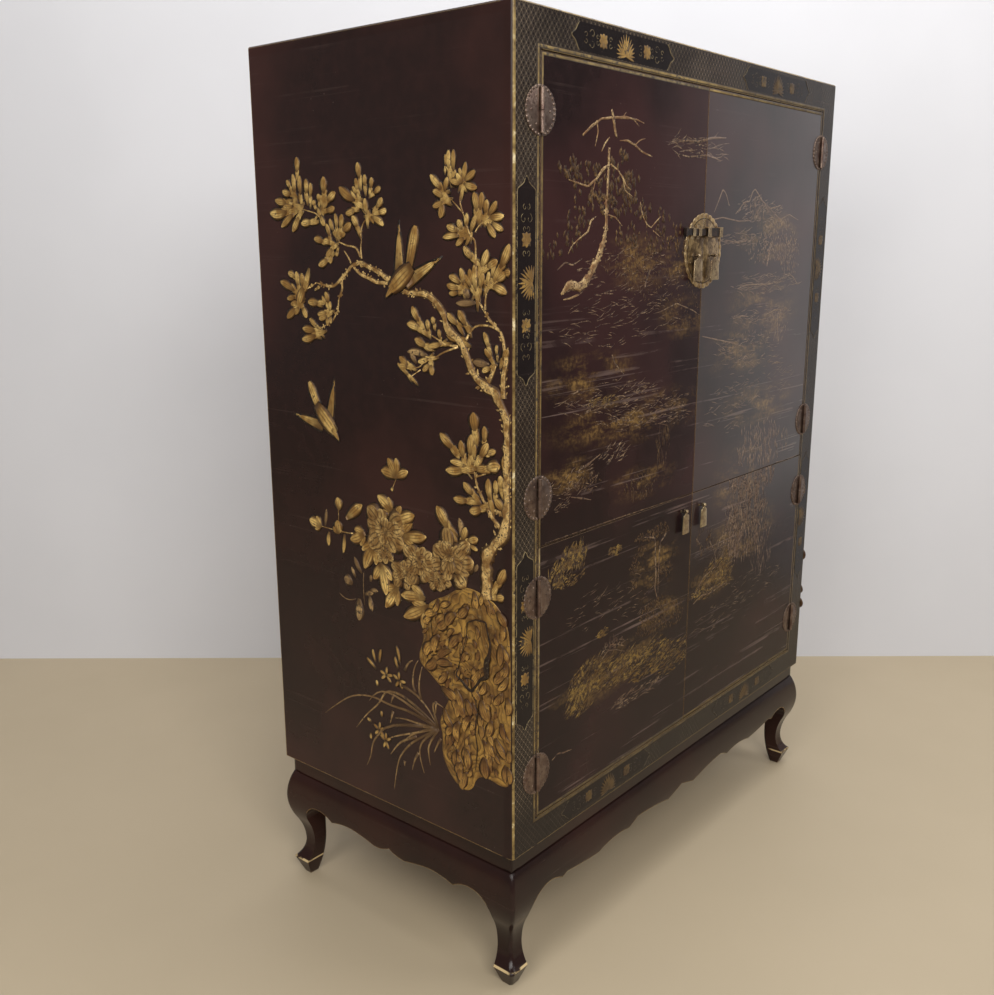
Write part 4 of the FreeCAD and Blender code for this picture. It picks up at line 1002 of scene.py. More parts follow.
for side, place in (("left", on_left), ("right", on_right)):
    rng = random.Random(11)
    gilded(f"side_tree_{side}", place, side_bark, (rough_lines(rng, TRUNK), 0.16),
           ([(points, widths, 0.0) for points, widths in TWIGS], 0.4),
           ([spur for bough in TRUNK for spur in spurs(rng, *bough)], 0.12), box=PANEL_EDGES)
    petals = [small for each in PETALS for small in undergrowth(rng, *each)]
    petals += [leaf(rng, *ends, width * 1.1, rng.uniform(0.15, 0.4))
               for *ends, width in PETALS + ORCHID_PETALS]
    for each in LEAVES:
        petals += lobed(rng, *each) if each[4] > LOBED_FROM else [leaf(rng, *each)]
    for each in BIRDS:
        petals += feathered(*each)
    heads = [broad for each in PEONIES for broad in peony(rng, *each)]
    for x, y in ORCHID_FLOWERS:
        petals += [petal((x, y), 72 * k + rng.uniform(-20, 20), 21, 5.4, lift=0.4) for k in range(5)]
    gilded(f"side_blossom_{side}", place, side_leaf, (petals, 0.085), box=PANEL_EDGES)
    gilded(f"side_peonies_{side}", place, flower_leaf, (heads, 0.085))
    # A wider dark brown copy under each petal and flower head: drawn outlines that are also painted shade
    # in the gaps between petals.
    wider = [(points, [width + 1.5 for width in widths], lift) for points, widths, lift in petals + heads]
    gilded(f"side_petal_outlines_and_shade_{side}", place, brown_line_and_shade, (wider, 0.055), box=PANEL_EDGES, sides=0,
           steps=2)
    blades = [(points, [4.4 - 3.2 * k / (len(points) - 1) for k in range(len(points))])
              for points in BLADES]
    gilded(f"side_grasses_{side}", place, dull_leaf,
           ([(points, widths, 0.0) for points, widths in blades + GRASS_STEMS], 0.35),
           ([leaf(rng, *each) for each in DULL_LEAVES], 0.085))
    bm = bmesh.new()
    add_relief(bm, ROCK, pitch=3.0, height=2.2, fold=17.0, seed=1, shoulder=8.0)
    finish_piece(f"side_rock_{side}", bm, place, rock_gilt, merge=0)
    facets = []
    while len(facets) < ROCK_FACETS:
        x, y = rng.uniform(462, 708), rng.uniform(1066, 1505)
        drift = noise.noise(Vector((x, y, 9.0)) / 90.0)
        turn = math.radians(180 + 70 * drift + (50 if y < 1290 and x < 560 else 0) + rng.uniform(-25, 25))
        length = rng.uniform(15, 44)
        tip = (x + length * math.sin(turn), y - length * math.cos(turn))
        if all(inside(point, ROCK) for point in ((x, y), tip)):
            facets.append(leaf(rng, x, y, *tip, length * rng.uniform(0.20, 0.32), rng.uniform(1.4, 2.6),
                               bend=0.2))
    gilded(f"side_rock_facets_{side}", place, stone_leaf, (facets, 0.10))
    gilded(f"side_rock_crevices_{side}", place, brown_line_and_shade,
           (rough_lines(rng, CREVICES, lift=2.9), 0.3))

# ---- The doors -----------------------------------------------------------------------------------
# Four flush boards in two tiers, lacquered aubergine. The lacquer has shrunk into fine level cracks.
# A gilt band runs round them, and a rubbed gold landscape is painted across all four.

door_finish, tree, surface = new_finish("door_lacquer", IOR=1.25)
upright = own_place(tree)["Z"]
film = use(tree, lacquer_film, Ground=tint(29, 18, 18), Warm=tint(57, 33, 32), Warmth=0.8,
           Streaks=step(tree, upright, 1.50, 1.15, 0.12, 1.0))
# Rubbed gold dust: middle across and down, and half sizes, in the panel's millimetres.
HAZE = [
    (420, 440, 170, 60), (250, 660, 170, 60), (560, 430, 60, 60), (600, 560, 110, 50),
    (420, 760, 320, 60), (180, 850, 100, 40), (450, 910, 160, 40), (1000, 380, 180, 70),
    (1000, 560, 200, 80), (900, 660, 220, 60), (1010, 800, 220, 60), (930, 990, 170, 110),
    (960, 1130, 200, 90), (800, 1220, 130, 50), (350, 1320, 240, 60), (520, 1120, 110, 90),
    (560, 1240, 110, 50),
]
place = add(tree, "TexCoord").outputs["Object"]
haze = None
for across, down, half_wide, half_tall in HAZE:
    centre = on_front @ Vector((across, down, 0))
    offset = add(tree, "VectorMath", {0: place, 1: centre}, operation="SUBTRACT").outputs[0]
    scaled = add(tree, "VectorMath", {0: offset, 1: (1 / (half_wide * MM), 0.0, 1 / (half_tall * MM))},
                 operation="MULTIPLY").outputs[0]
    far = add(tree, "VectorMath", {0: scaled}, operation="LENGTH").outputs["Value"]
    patch = step(tree, far, 1.15, 0.25)
    haze = patch if haze is None else calc(tree, "MAXIMUM", haze, patch)
swept = step(tree, grain(tree, 9.0, stretch=(1.0, 1.0, 3.2), detail=7.0, rough=0.72), 0.42, 0.66)
stipple = step(tree, grain(tree, 120.0, detail=3.0, rough=0.6), 0.40, 0.62)
gold_share = times(tree, times(tree, haze, swept), calc(tree, "ADD", 0.35, stipple))
facing = add(tree, "SeparateXYZ", {0: add(tree, "TexCoord").outputs["Normal"]}).outputs["Y"]
gold_share = times(tree, gold_share, step(tree, facing, -0.8, -0.95))
colour = mix(tree, times(tree, gold_share, 0.75), film["Color"], tint(126, 98, 56))
worn = worn_edges(tree, 0.0025, 0.5)
colour = mix(tree, times(tree, worn, 0.8), colour, tint(150, 122, 84))
dress(tree, surface, colour, film["Roughness"], film["Height"], 0.0003)
# The right-hand doors keep their last coat of clear lacquer, down to a hand's breadth under the joint.
sideways = own_place(tree)["X"]
clear = times(tree, step(tree, sideways, -0.001, 0.001), step(tree, upright, 0.72, 1.02))
# A thin trace of it is left on the left-hand upper door, near the joint, and it has dulled in clouds.
trace = times(tree, step(tree, sideways, -0.34, 0.0, 0.0, 0.28), step(tree, upright, 1.30, 1.70))
clear = times(tree, calc(tree, "MAXIMUM", clear, trace),
              step(tree, grain(tree, 2.6, detail=2.0), 0.38, 0.62, 0.88, 1.0))
clear = times(tree, clear, step(tree, facing, -0.8, -0.95))
tree.links.new(clear, surface.inputs["Coat Weight"])
surface.inputs["Coat Roughness"].default_value = 0.3
# Each door's left, top, right and bottom.
DOORS = {"upper_left": (77, 74, 674, 976.2), "upper_right": (676, 74, 1273, 976.2),
         "lower_left": (77, 978, 674, 1556), "lower_right": (676, 978, 1273, 1556)}
coat(door_finish, *[f"door_leaf_{door}" for door in DOORS])

# One band runs round all four doors; each door carries the part of it that lies on it.
DOOR_BAND_IN, DOOR_BAND_HALF = 4.7, 4.5
ring = rectangle(DOORS["upper_left"][0] + DOOR_BAND_IN, DOORS["upper_left"][1] + DOOR_BAND_IN,
                 DOORS["lower_right"][2] - DOOR_BAND_IN, DOORS["lower_right"][3] - DOOR_BAND_IN)
for door, box in DOORS.items():
    gilded(f"door_band_{door}", on_front, band_gilt, ([(ring, [DOOR_BAND_HALF] * 4, 0.0)], 0.1), box=box,
           body=f"door_{door}", slot="door_lacquer", closed=True)

# The landscape: strokes as (points, half widths), puffs of pine needles, and rubbed banks and hills.
PINE_TRUNK = [
    ([(143, 495), (168, 478), (205, 483), (235, 463), (262, 430), (282, 398), (290, 360), (287, 318)],
     [2.5, 8, 9, 9, 8, 6.5, 5, 3.5]), ([(150, 505), (175, 503), (200, 497)], [1, 2.4, 2]),
    ([(290, 318), (293, 270), (294, 222)], [3.5, 3, 4]),
    ([(300, 152), (308, 172), (313, 190), (320, 203)], [2, 4, 4.5, 2]),
]
PINE_BOUGHS = [
    ([(205, 206), (235, 187), (265, 172), (300, 167), (345, 163), (385, 163), (416, 168)], [2.2, 3, 2.6,
     2.4, 2.6, 2, 0.8]), ([(250, 176), (256, 196), (246, 223)], [1.6, 1.8, 0.8]),
    ([(330, 207), (358, 205), (385, 212), (412, 223), (450, 230)], [0.8, 2, 2.2, 1.8, 1]),
    ([(385, 212), (405, 200), (422, 197)], [1.2, 1.2, 0.6]),
    ([(295, 203), (282, 212), (268, 231)], [1, 2.2, 1]), ([(375, 163), (398, 175)], [1.4, 0.6]),
    ([(338, 164), (350, 153)], [1.6, 0.8]),
    ([(297, 253), (275, 262), (255, 280), (225, 297), (195, 292), (163, 287)], [2.6, 3, 2.6, 2.2, 1.8,
     0.8]), ([(250, 283), (238, 315)], [1.6, 1.2]),
    ([(300, 252), (325, 262), (345, 277), (357, 291), (376, 298)], [1.6, 2.4, 2.4, 1.8, 0.8]),
    ([(343, 275), (353, 300), (382, 311)], [1.4, 1.6, 0.6]),
    ([(254, 351), (236, 360), (228, 380), (200, 392), (176, 405), (164, 421)], [1, 2.6, 2.2, 2, 1.8,
     0.6]), ([(295, 347), (322, 352), (346, 368)], [1, 1.8, 0.8]),
    ([(410, 320), (420, 346), (440, 366), (455, 370)], [1, 1.8, 1.8, 1]),
    ([(455, 370), (476, 356), (492, 347)], [1, 1.8, 0.8]), ([(462, 376), (490, 388)], [1.2, 0.8]),
]
FAINT_STROKES = [
    ([(720, 334), (745, 300), (757, 283), (772, 292), (790, 318)], [1, 1.6, 1.8, 1.4, 0.8]),
    ([(822, 336), (845, 322), (862, 309), (890, 306), (903, 284), (915, 277), (932, 287), (955, 303),
     (1000, 320), (1030, 316), (1055, 312)], [0.8, 1.4, 1.8, 1.6, 1.6, 2, 1.8, 1.4, 1.6, 1.2, 0.8]),
    ([(1000, 320), (1060, 345), (1110, 332), (1165, 345)], [1, 1.4, 1.2, 0.8]),
    ([(530, 198), (580, 190), (640, 188), (700, 176), (760, 172)], [1, 2.4, 3, 2.4, 1]),
    ([(540, 218), (600, 222), (680, 214), (740, 222)], [0.8, 1.8, 2, 0.8]),
    ([(700, 352), (760, 345), (840, 352), (900, 350)], [1.2, 1.6, 1.4, 0.8]),
    ([(780, 395), (830, 400), (880, 398)], [0.8, 1.6, 0.8]),
    ([(1000, 458), (1008, 430), (1018, 405)], [3.4, 3, 1.6]),
    ([(850, 508), (900, 500), (1000, 502), (1090, 497)], [0.8, 1.6, 1.8, 0.8]),
    ([(835, 578), (880, 573), (915, 577)], [0.8, 1.8, 0.8]),
    ([(1000, 578), (1060, 568), (1110, 570)], [0.8, 1.8, 1]),
    ([(1075, 580), (1082, 615), (1090, 652)], [1, 2.2, 1]),
    ([(1130, 478), (1160, 490), (1185, 508)], [1, 2, 1]),
    ([(690, 610), (760, 622), (830, 634), (900, 650)], [0.8, 1.4, 1.2, 0.6]),
    ([(895, 680), (912, 672), (925, 678)], [1, 3, 1]),
    ([(1060, 706), (1085, 702), (1110, 706)], [0.8, 2, 0.8]),
    ([(320, 622), (332, 642), (366, 666)], [1.2, 1.6, 0.8]),
    ([(438, 490), (446, 468), (458, 452)], [2.2, 2.6, 1.2]),
    ([(535, 568), (560, 560), (590, 565)], [0.6, 1.6, 0.6]),
    ([(500, 545), (570, 530), (640, 548), (672, 560)], [0.8, 1.4, 1.2, 0.6]),
    ([(203, 847), (240, 838), (285, 823)], [2, 2.4, 1]),
    ([(185, 895), (225, 905), (255, 914)], [1, 2, 1]),
    ([(1120, 973), (1180, 978), (1255, 974)], [0.6, 1.8, 0.6]),
    ([(100, 972), (350, 973), (610, 976)], [0.4, 1.0, 0.4]),
    ([(130, 450), (155, 436), (178, 442), (210, 430)], [0.8, 2, 1.6, 0.6]),
    ([(300, 1272), (330, 1255), (360, 1262), (395, 1276)], [0.8, 1.2, 1.2, 0.8]),
    ([(300, 1285), (330, 1268), (362, 1275), (398, 1290)], [0.6, 1, 1, 0.6]),
    ([(690, 1250), (715, 1232), (745, 1205), (785, 1196), (810, 1190)], [1, 1.8, 2.2, 1.6, 0.8]),
    ([(700, 1262), (740, 1250), (790, 1256), (850, 1248), (890, 1256)], [0.8, 1.6, 2, 1.8, 0.8]),
    ([(772, 1118), (790, 1140), (803, 1160), (806, 1192)], [1, 1.6, 1.8, 1]),
    ([(700, 1095), (718, 1110), (735, 1122)], [2.4, 2.6, 1]),
    ([(130, 1450), (150, 1442), (168, 1448), (200, 1452)], [0.8, 1.8, 1.6, 0.6]),
]
TREE_TRUNKS = [
    ([(530, 1198), (518, 1172), (521, 1140), (517, 1100), (512, 1050)], [1.6, 2.6, 3, 2.6, 1.6]),
    ([(533, 1188), (532, 1140), (533, 1090), (537, 1062)], [1, 1.8, 2, 1.4]),
    ([(536, 1066), (548, 1062), (560, 1050)], [1.6, 3, 2.4]),
    ([(512, 1052), (490, 1045), (465, 1040)], [1.6, 1.8, 0.8]), ([(513, 1056), (500, 1042)], [1.6, 1]),
]
# Brushwork in short strokes over ovals: middle, half sizes, count, lean, its spread, length, half width.
FOLIAGE = {
    "upper_left": [
        (165, 275, 40, 22, 20, 0, 12, 15, 5.4), (215, 290, 55, 32, 28, 0, 12, 15, 5.4),
        (300, 290, 66, 42, 52, 0, 12, 15, 5.6), (345, 240, 18, 22, 10, 0, 12, 14, 5.2),
        (370, 300, 42, 30, 30, 0, 12, 15, 5.6), (250, 335, 76, 20, 30, 0, 12, 14, 5.2),
        (340, 340, 70, 22, 30, 0, 12, 14, 5.2), (420, 350, 40, 28, 16, 0, 12, 14, 5.0),
        (490, 362, 46, 28, 14, 0, 14, 14, 4.8), (190, 372, 40, 28, 16, 0, 14, 14, 4.8),
        (150, 408, 46, 20, 14, 0, 18, 13, 4.2), (370, 395, 60, 25, 24, 0, 14, 14, 4.4),
        (480, 400, 60, 30, 26, 0, 14, 14, 4.4), (560, 400, 46, 38, 20, 0, 14, 15, 4.6),
        (115, 422, 32, 12, 10, 0, 18, 12, 4.0), (500, 470, 130, 60, 150, 0, 60, 8, 1.7),
        (380, 450, 100, 40, 80, 0, 60, 8, 1.6), (600, 540, 70, 50, 60, 0, 60, 8, 1.5),
        (440, 925, 60, 30, 60, 0, 40, 10, 1.9), (533, 850, 30, 50, 50, 0, 12, 22, 1.5),
        (240, 880, 50, 26, 40, 0, 50, 9, 1.8)],
    "upper_right": [
        (1060, 400, 100, 55, 190, 0, 50, 9, 2.0), (1130, 440, 60, 50, 90, 0, 40, 10, 1.8),
        (960, 420, 80, 40, 80, 0, 50, 8, 1.6), (1010, 620, 140, 40, 70, 0, 50, 8, 1.4)],
    "lower_left": [
        (470, 1043, 42, 12, 60, 0, 60, 7, 2.2), (535, 1040, 42, 16, 60, 0, 60, 7, 2.2),
        (430, 1102, 22, 13, 30, 0, 60, 7, 2.2), (430, 1145, 15, 12, 20, 0, 60, 7, 2),
        (565, 1140, 24, 22, 44, 0, 60, 7, 2.2), (530, 1232, 72, 30, 180, 0, 60, 8, 2.2),
        (500, 1266, 62, 20, 90, 0, 60, 9, 2.2), (604, 1262, 52, 32, 90, 0, 60, 8, 2),
        (450, 1075, 30, 14, 24, 0, 60, 7, 1.8)],
    "lower_right": [
        (740, 1110, 44, 44, 40, 20, 30, 16, 1.6)],
}
WILLOW = {
    "upper_right": [
        (1040, 930, 150, 44, 130, 0, 22, 20, 2.0), (1010, 880, 110, 30, 60, 0, 30, 16, 1.6)],
    "lower_right": [
        (985, 1010, 125, 44, 170, 0, 8, 40, 2.0), (960, 1100, 120, 50, 150, 0, 7, 44, 2.0),
        (1000, 1180, 110, 46, 100, 0, 7, 40, 1.7), (900, 1160, 36, 60, 60, 0, 6, 46, 2.0),
        (1060, 1240, 60, 40, 40, 0, 10, 28, 1.3)],
    "upper_left": [],
    "lower_left": [],
}
BRUSHWORK = {
    "upper_left": [
        (360, 480, 220, 70, 130, 85, 12, 26, 0.9), (330, 560, 230, 50, 90, 86, 10, 30, 0.9),
        (300, 705, 190, 32, 90, 88, 8, 32, 1.1), (450, 760, 190, 34, 90, 88, 8, 34, 1.0),
        (215, 870, 60, 35, 50, 70, 30, 18, 1.3), (330, 832, 60, 20, 40, 70, 20, 22, 1.2),
        (130, 890, 50, 30, 34, 80, 20, 20, 0.9), (560, 760, 100, 40, 60, 85, 12, 26, 0.9),
        (610, 200, 110, 22, 60, 84, 14, 34, 1.1)],
    "upper_right": [
        (930, 325, 130, 30, 70, 80, 20, 22, 1.0), (860, 395, 120, 20, 50, 88, 8, 30, 0.9),
        (1000, 500, 190, 26, 100, 88, 6, 34, 1.0), (980, 575, 170, 22, 80, 88, 8, 30, 0.9),
        (900, 655, 180, 40, 80, 88, 10, 30, 0.9), (1085, 620, 40, 40, 30, 10, 20, 16, 1.0),
        (1000, 740, 200, 60, 90, 86, 14, 28, 0.9), (820, 800, 120, 60, 50, 86, 14, 26, 0.9),
        (720, 200, 50, 26, 24, 84, 12, 30, 1.0)],
    "lower_left": [
        (430, 1410, 110, 14, 60, 86, 10, 30, 1.1), (350, 1262, 44, 12, 40, 88, 12, 16, 1.0),
        (350, 1262, 40, 12, 24, 0, 6, 14, 0.8), (440, 1170, 120, 60, 40, 86, 14, 26, 0.8),
        (250, 1150, 100, 50, 30, 86, 14, 26, 0.8)],
    "lower_right": [
        (1000, 1290, 170, 40, 60, 88, 8, 30, 0.9), (800, 1330, 110, 40, 40, 88, 8, 26, 0.9),
        (830, 1150, 30, 30, 40, 40, 20, 18, 1.1)],
}
BANKS = {
    "upper_left": [
        (285, 714, 60, 9, 60, 84, 16, 16, 1.6)],
    "upper_right": [
        (940, 330, 50, 26, 50, 30, 30, 16, 1.3)],
    "lower_left": [
        (138, 1052, 28, 24, 70, 35, 25, 18, 2.4), (178, 1030, 34, 26, 100, 30, 25, 20, 2.4),
        (216, 1032, 24, 30, 70, 20, 20, 20, 2.2), (175, 1070, 50, 12, 60, 70, 25, 16, 2.0),
        (345, 1045, 26, 10, 50, 80, 30, 12, 2), (300, 1222, 24, 10, 30, 80, 15, 14, 2.2),
        (245, 1312, 66, 38, 150, 60, 18, 26, 1.7), (355, 1325, 100, 40, 190, 75, 14, 28, 1.7),
        (480, 1342, 100, 45, 190, 80, 14, 30, 1.7), (590, 1370, 80, 40, 130, 80, 14, 30, 1.6),
        (220, 1366, 50, 22, 80, 60, 16, 22, 1.6), (205, 1340, 34, 30, 70, 40, 18, 20, 1.8)],
    "lower_right": [
        (735, 1246, 56, 20, 80, 70, 14, 20, 1.6), (805, 1205, 66, 28, 120, 65, 18, 22, 1.7),
        (868, 1195, 28, 38, 60, 60, 15, 24, 1.6), (846, 1240, 50, 18, 50, 76, 14, 22, 1.4)],
}
pine_gilt = gilt("pine_gilt", (196, 168, 120), (120, 86, 54), 0.34, ground=(66, 36, 26),
                 scale=2.4, gloss=0.25)
faint_gilt = gilt("faint_gilt", (166, 140, 108), (108, 84, 64), 0.50, ground=(46, 30, 28),
                  scale=1.4, gloss=0.2)
foliage_gilt = gilt("foliage_gilt", (114, 88, 54), (72, 52, 34), 0.42, ground=(44, 29, 26),
                    scale=1.4, gloss=0.12)
bank_gilt = gilt("bank_gilt", (156, 126, 62), (92, 68, 36), 0.50, ground=(48, 32, 26),
                 scale=1.6, gloss=0.2)
willow_gilt = gilt("willow_gilt", (146, 122, 98), (100, 78, 62), 0.46, ground=(52, 34, 30),
                   scale=1.4, gloss=0.2)
# On the right-hand upper door the painting is made paler, on a pale mauve ground: painted reflection that
# matches the sheen of the door's clear coat.
paint_with_painted_reflection = gilt("paint_with_painted_reflection", (148, 127, 106), (126, 106, 92), 0.34, ground=(108, 92, 86),
                    scale=1.4, gloss=0.3)


def brushed(rng, middle_x, middle_y, half_wide, half_tall, count, lean, spread, length, width):
    """Short brush strokes scattered over an oval, all leaning much the same way."""
    for _ in range(count):
        turn, out = rng.uniform(0, 2 * math.pi), math.sqrt(rng.random())
        at = (middle_x + half_wide * out * math.cos(turn), middle_y + half_tall * out * math.sin(turn))
        yield petal(at, lean + rng.uniform(-spread, spread), length * rng.uniform(0.6, 1.3),
                    width * rng.uniform(0.7, 1.2), rng.uniform(-20, 20))


for door, box in DOORS.items():
    rng = random.Random(5)
    for name, ovals, finish in (("landscape", BRUSHWORK, faint_gilt), ("foliage", FOLIAGE, foliage_gilt),
                                ("banks", BANKS, bank_gilt), ("willow", WILLOW, willow_gilt)):
        if not ovals[door]:
            continue
        bm = bmesh.new()
        scattered = [stroke for oval in ovals[door] for stroke in brushed(rng, *oval)]
        add_strokes(bm, scattered, 0.06, sides=0, steps=1)
        if name == "landscape":
            add_strokes(bm, rough_lines(rng, FAINT_STROKES), 0.08)
            if door == "lower_left":
                add_strokes(bm, rough_lines(rng, TREE_TRUNKS), 0.08)
        trim(bm, box)
        # The right-hand upper door's painting takes the finish with painted reflection.
        finish_piece(f"door_{name}_{door}", bm, on_front, paint_with_painted_reflection if door == "upper_right" else finish,
                     f"door_{door}")
gilded("door_pine", on_front, pine_gilt, (rough_lines(rng, PINE_TRUNK), 0.2),
       (spurs(rng, *PINE_TRUNK[0]), 0.2), (rough_lines(rng, PINE_BOUGHS), 0.3),
       body="door_upper_left", slot="door_lacquer")

# ---- The hinges ----------------------------------------------------------------------------------
# Each hinge is a round brass plate cut in two, with a scalloped and beaded rim. The halves are pinned
# flat on frame and door, and their knuckles are rolled round a plain pin.


def brass(name, bright, dull, dark, wear, rub=(214, 196, 156), round_plate=None):
    material, tree, surface = new_finish(name, Metallic=0.85)
    tone = step(tree, grain(tree, 45.0, detail=6.0, rough=0.65), 0.32, 0.66)
    stains = step(tree, grain(tree, 160.0, detail=5.0, rough=0.7), 0.52, 0.70)
    colour = mix(tree, tone, tint(*dull), tint(*bright))
    colour = mix(tree, times(tree, stains, 0.7), colour, tint(*dark))
    if round_plate:
        # A dark ring line is painted round the foot of the beads, and the middle of the plate is dulled
        # with patina.
        middle, line = round_plate
        across, _, upright = own_place(tree)
        reach = span(tree, across, calc(tree, "SUBTRACT", upright, middle))
        dark_ring_line = step(tree, apart(tree, reach, line), 0.0020, 0.0009)
        centre = times(tree, step(tree, reach, line, line - 0.004), step(tree, tone, 0.9, 0.2, 0.1, 0.6))
        dimmed = calc(tree, "MAXIMUM", times(tree, dark_ring_line, 0.9), centre)
        colour = mix(tree, dimmed, colour, tint(*dark))
    rubbed = use(tree, edge_wear, Radius=0.0012, Amount=wear, Scale=140.0)["Mask"]
    colour = mix(tree, rubbed, colour, tint(*rub))
    scratches = grain(tree, 60.0, stretch=(5, 5, 0.8), detail=4.0)
    rough = calc(tree, "ADD", step(tree, stains, 0.0, 1.0, 0.34, 0.6), times(tree, rubbed, -0.1))
    dress(tree, surface, colour, rough, calc(tree, "ADD", scratches, stains), 0.00015)
    return material


def fitting(name, bm, place, material, body, node, sharp=35, merge=0.002):
    """A brass piece made in millimetres, with crisp edges, that stands in for a node."""
    piece = finish_piece(name, bm, Matrix.Scale(MM, 4) @ place, material, body, merge=merge)
    piece.data.set_sharp_from_angle(angle=math.radians(sharp))
    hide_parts(node)


hinge_brass = brass("hinge_brass", (128, 110, 98), (90, 70, 62), (50, 36, 32), 0.42, rub=(156, 136, 116))
SCALLOPS = 28


def add_scalloped_plate(bm, radius, thickness, keep_from, notch=None, bite=1.4):
    """Adds half of a round plate with a scalloped edge on the +X side, its back on Y = 0, front at -Y."""
    sheet = bmesh.new()
    bmesh.ops.create_circle(sheet, cap_ends=True, segments=SCALLOPS * 6, radius=radius)
    for vert in sheet.verts:
        angle = math.atan2(vert.co.y, vert.co.x)
        reach = radius - bite * (1 - abs(math.sin(SCALLOPS / 2 * angle)) ** 0.7)
        vert.co = vert.co.normalized() * reach
    cut_off(sheet, (keep_from, 0, 0), (-1, 0, 0), clear_outer=True)
    if notch:
        depth, start = notch
        for point, normal in (((depth, 0, 0), (1, 0, 0)), ((0, start, 0), (0, 1, 0))):
            cut_off(sheet, point, normal)
        cut = [f for f in sheet.faces if f.calc_center_median().x < depth
               and (f.calc_center_median().y - start) * math.copysign(1, start) > 0]
        bmesh.ops.delete(sheet, geom=cut, context="FACES")
    lifted = bmesh.ops.extrude_face_region(sheet, geom=sheet.faces[:])["geom"]
    bmesh.ops.translate(sheet, verts=corners(lifted), vec=(0, 0, thickness))
    brim = [e for e in sheet.edges
            if e.calc_face_angle(0) > 0.6 and all(v.co.z > thickness / 2 for v in e.verts)]
    file_round(sheet, brim, 0.45)
    bmesh.ops.rotate(sheet, cent=(0, 0, 0), matrix=Matrix.Rotation(math.pi / 2, 3, "X"), verts=sheet.verts)
    join(sheet, bm)


def add_dome(bm, x, y, z, radius, height, sides=8, rings=5):
    """Adds a low round bead with its middle at this point."""
    place = Matrix.Translation((x, y, z)) @ Matrix.Diagonal((radius, height, radius, 1))
    bmesh.ops.create_uvsphere(bm, u_segments=sides, v_segments=rings, radius=1.0, matrix=place)


def add_beads(bm, radius, front, size, height, keep_from):
    """Adds a ring of beads, one in each scallop, on the kept side."""
    for k in range(SCALLOPS):
        angle = 2 * math.pi * (k + 0.5) / SCALLOPS
        x, z = radius * math.cos(angle), radius * math.sin(angle)
        if x > keep_from + size:
            add_dome(bm, x, -front, z, size, height)


def add_round_plate(bm, radius, thickness, keep_from, beads, pins, **shape):
    """Adds half of a round plate with its rim of beads and the heads of the pins that hold it."""
    add_scalloped_plate(bm, radius, thickness, keep_from, **shape)
    ring, size, height = beads
    add_beads(bm, ring, thickness, size, height, keep_from)
    away, head, proud, angles = pins
    for angle in angles:
        spot = math.radians(angle)
        add_dome(bm, away * math.cos(spot), -thickness, away * math.sin(spot), head, proud, 12, 6)


def add_tube(bm, middle, start, length, outer, bore):
    """Adds a bored cylinder along Z with a slight round on its ends."""
    rings = []
    end = start + length
    ends = ((outer - 0.5, start), (outer, start + 0.5), (outer, end - 0.5), (outer - 0.5, end),
            (bore, end), (bore, start))
    for radius, z in ends:
        made = bmesh.ops.create_circle(bm, segments=24, radius=radius,
                                       matrix=Matrix.Translation((middle[0], middle[1], z)))
        rings.append(list({edge for vert in made["verts"] for edge in vert.link_edges}))
    for a, b in zip(rings, rings[1:] + rings[:1]):
        bmesh.ops.bridge_loops(bm, edges=a + b)


HINGE_X, KNUCKLE_Y = 599.25, -4.9
HINGE_HEIGHTS = {"upper": (1063.75, 1766.5), "lower": (483.5, 862.25)}
for door in DOORS:
    tier, side = door.split("_")
    out = -1 if side == "left" else 1
    for on_door in (False, True):
        bm = bmesh.new()
        for height in HINGE_HEIGHTS[tier]:
            half = bmesh.new()
            above = 1 if on_door else -1
            add_round_plate(half, 44.0, 1.5, 0.75, beads=(40.6, 3.3, 1.4),
                            pins=(27, 2.6, 1.2, (-62, 0, 62)), notch=(5.0, -above * 0.25))
            knuckle_from = 0.25 if above > 0 else -38.25
            add_tube(half, (0, KNUCKLE_Y), knuckle_from, 38.0, 4.5, 1.8)
            flip = out * (-1 if on_door else 1)
            bmesh.ops.transform(half, matrix=Matrix.Translation((out * HINGE_X, CASE_FRONT * 1000, height))
                                @ Matrix.Diagonal((flip, 1, 1, 1)), verts=half.verts)
            join(half, bm)
        kind = "door" if on_door else "frame"
        fitting(f"{kind}_hinge_plates_{door}", bm, Matrix.Identity(4), hinge_brass,
                f"door_{door}" if on_door else "cabinet", f"{kind}_hinge_leaves_{door}")
coat(hinge_brass, "hinge_pins")

# ---- The lock ------------------------------------------------------------------------------------
# A large scalloped brass plate, split along the seam between the upper doors. A dark iron bolt slides
# under two brass guides on the left half and shoots into a flat iron tube strapped to the right half.

lock_brass = brass("lock_brass", (184, 160, 122), (116, 92, 68), (50, 36, 28), 0.75, rub=(236, 218, 184))
# Height of the lock's middle, and the radius of the dark ring line painted round the foot of its beads.
LOCK_HEIGHT, LOCK_DARK_RING = 1521.0, 70.5
rose_brass = brass("rose_brass", (190, 160, 112), (128, 98, 64), (56, 38, 26), 0.75, rub=(236, 216, 176),
                   round_plate=(LOCK_HEIGHT * MM, LOCK_DARK_RING * MM))
for side, out in (("left", -1), ("right", 1)):
    bm = bmesh.new()
    add_round_plate(bm, 82.5, 1.6, 1.0, beads=(76.6, 5.6, 0.8), pins=(60, 2.4, 1.0, (-70, -25, 62)),
                    bite=2.6)
    bmesh.ops.transform(bm, matrix=Matrix.Translation((0, CASE_FRONT * 1000, LOCK_HEIGHT))
                        @ Matrix.Diagonal((out, 1, 1, 1)), verts=bm.verts)
    fitting(f"lock_rose_{side}", bm, Matrix.Identity(4), rose_brass, f"door_upper_{side}",
            f"lock_plate_{side}")

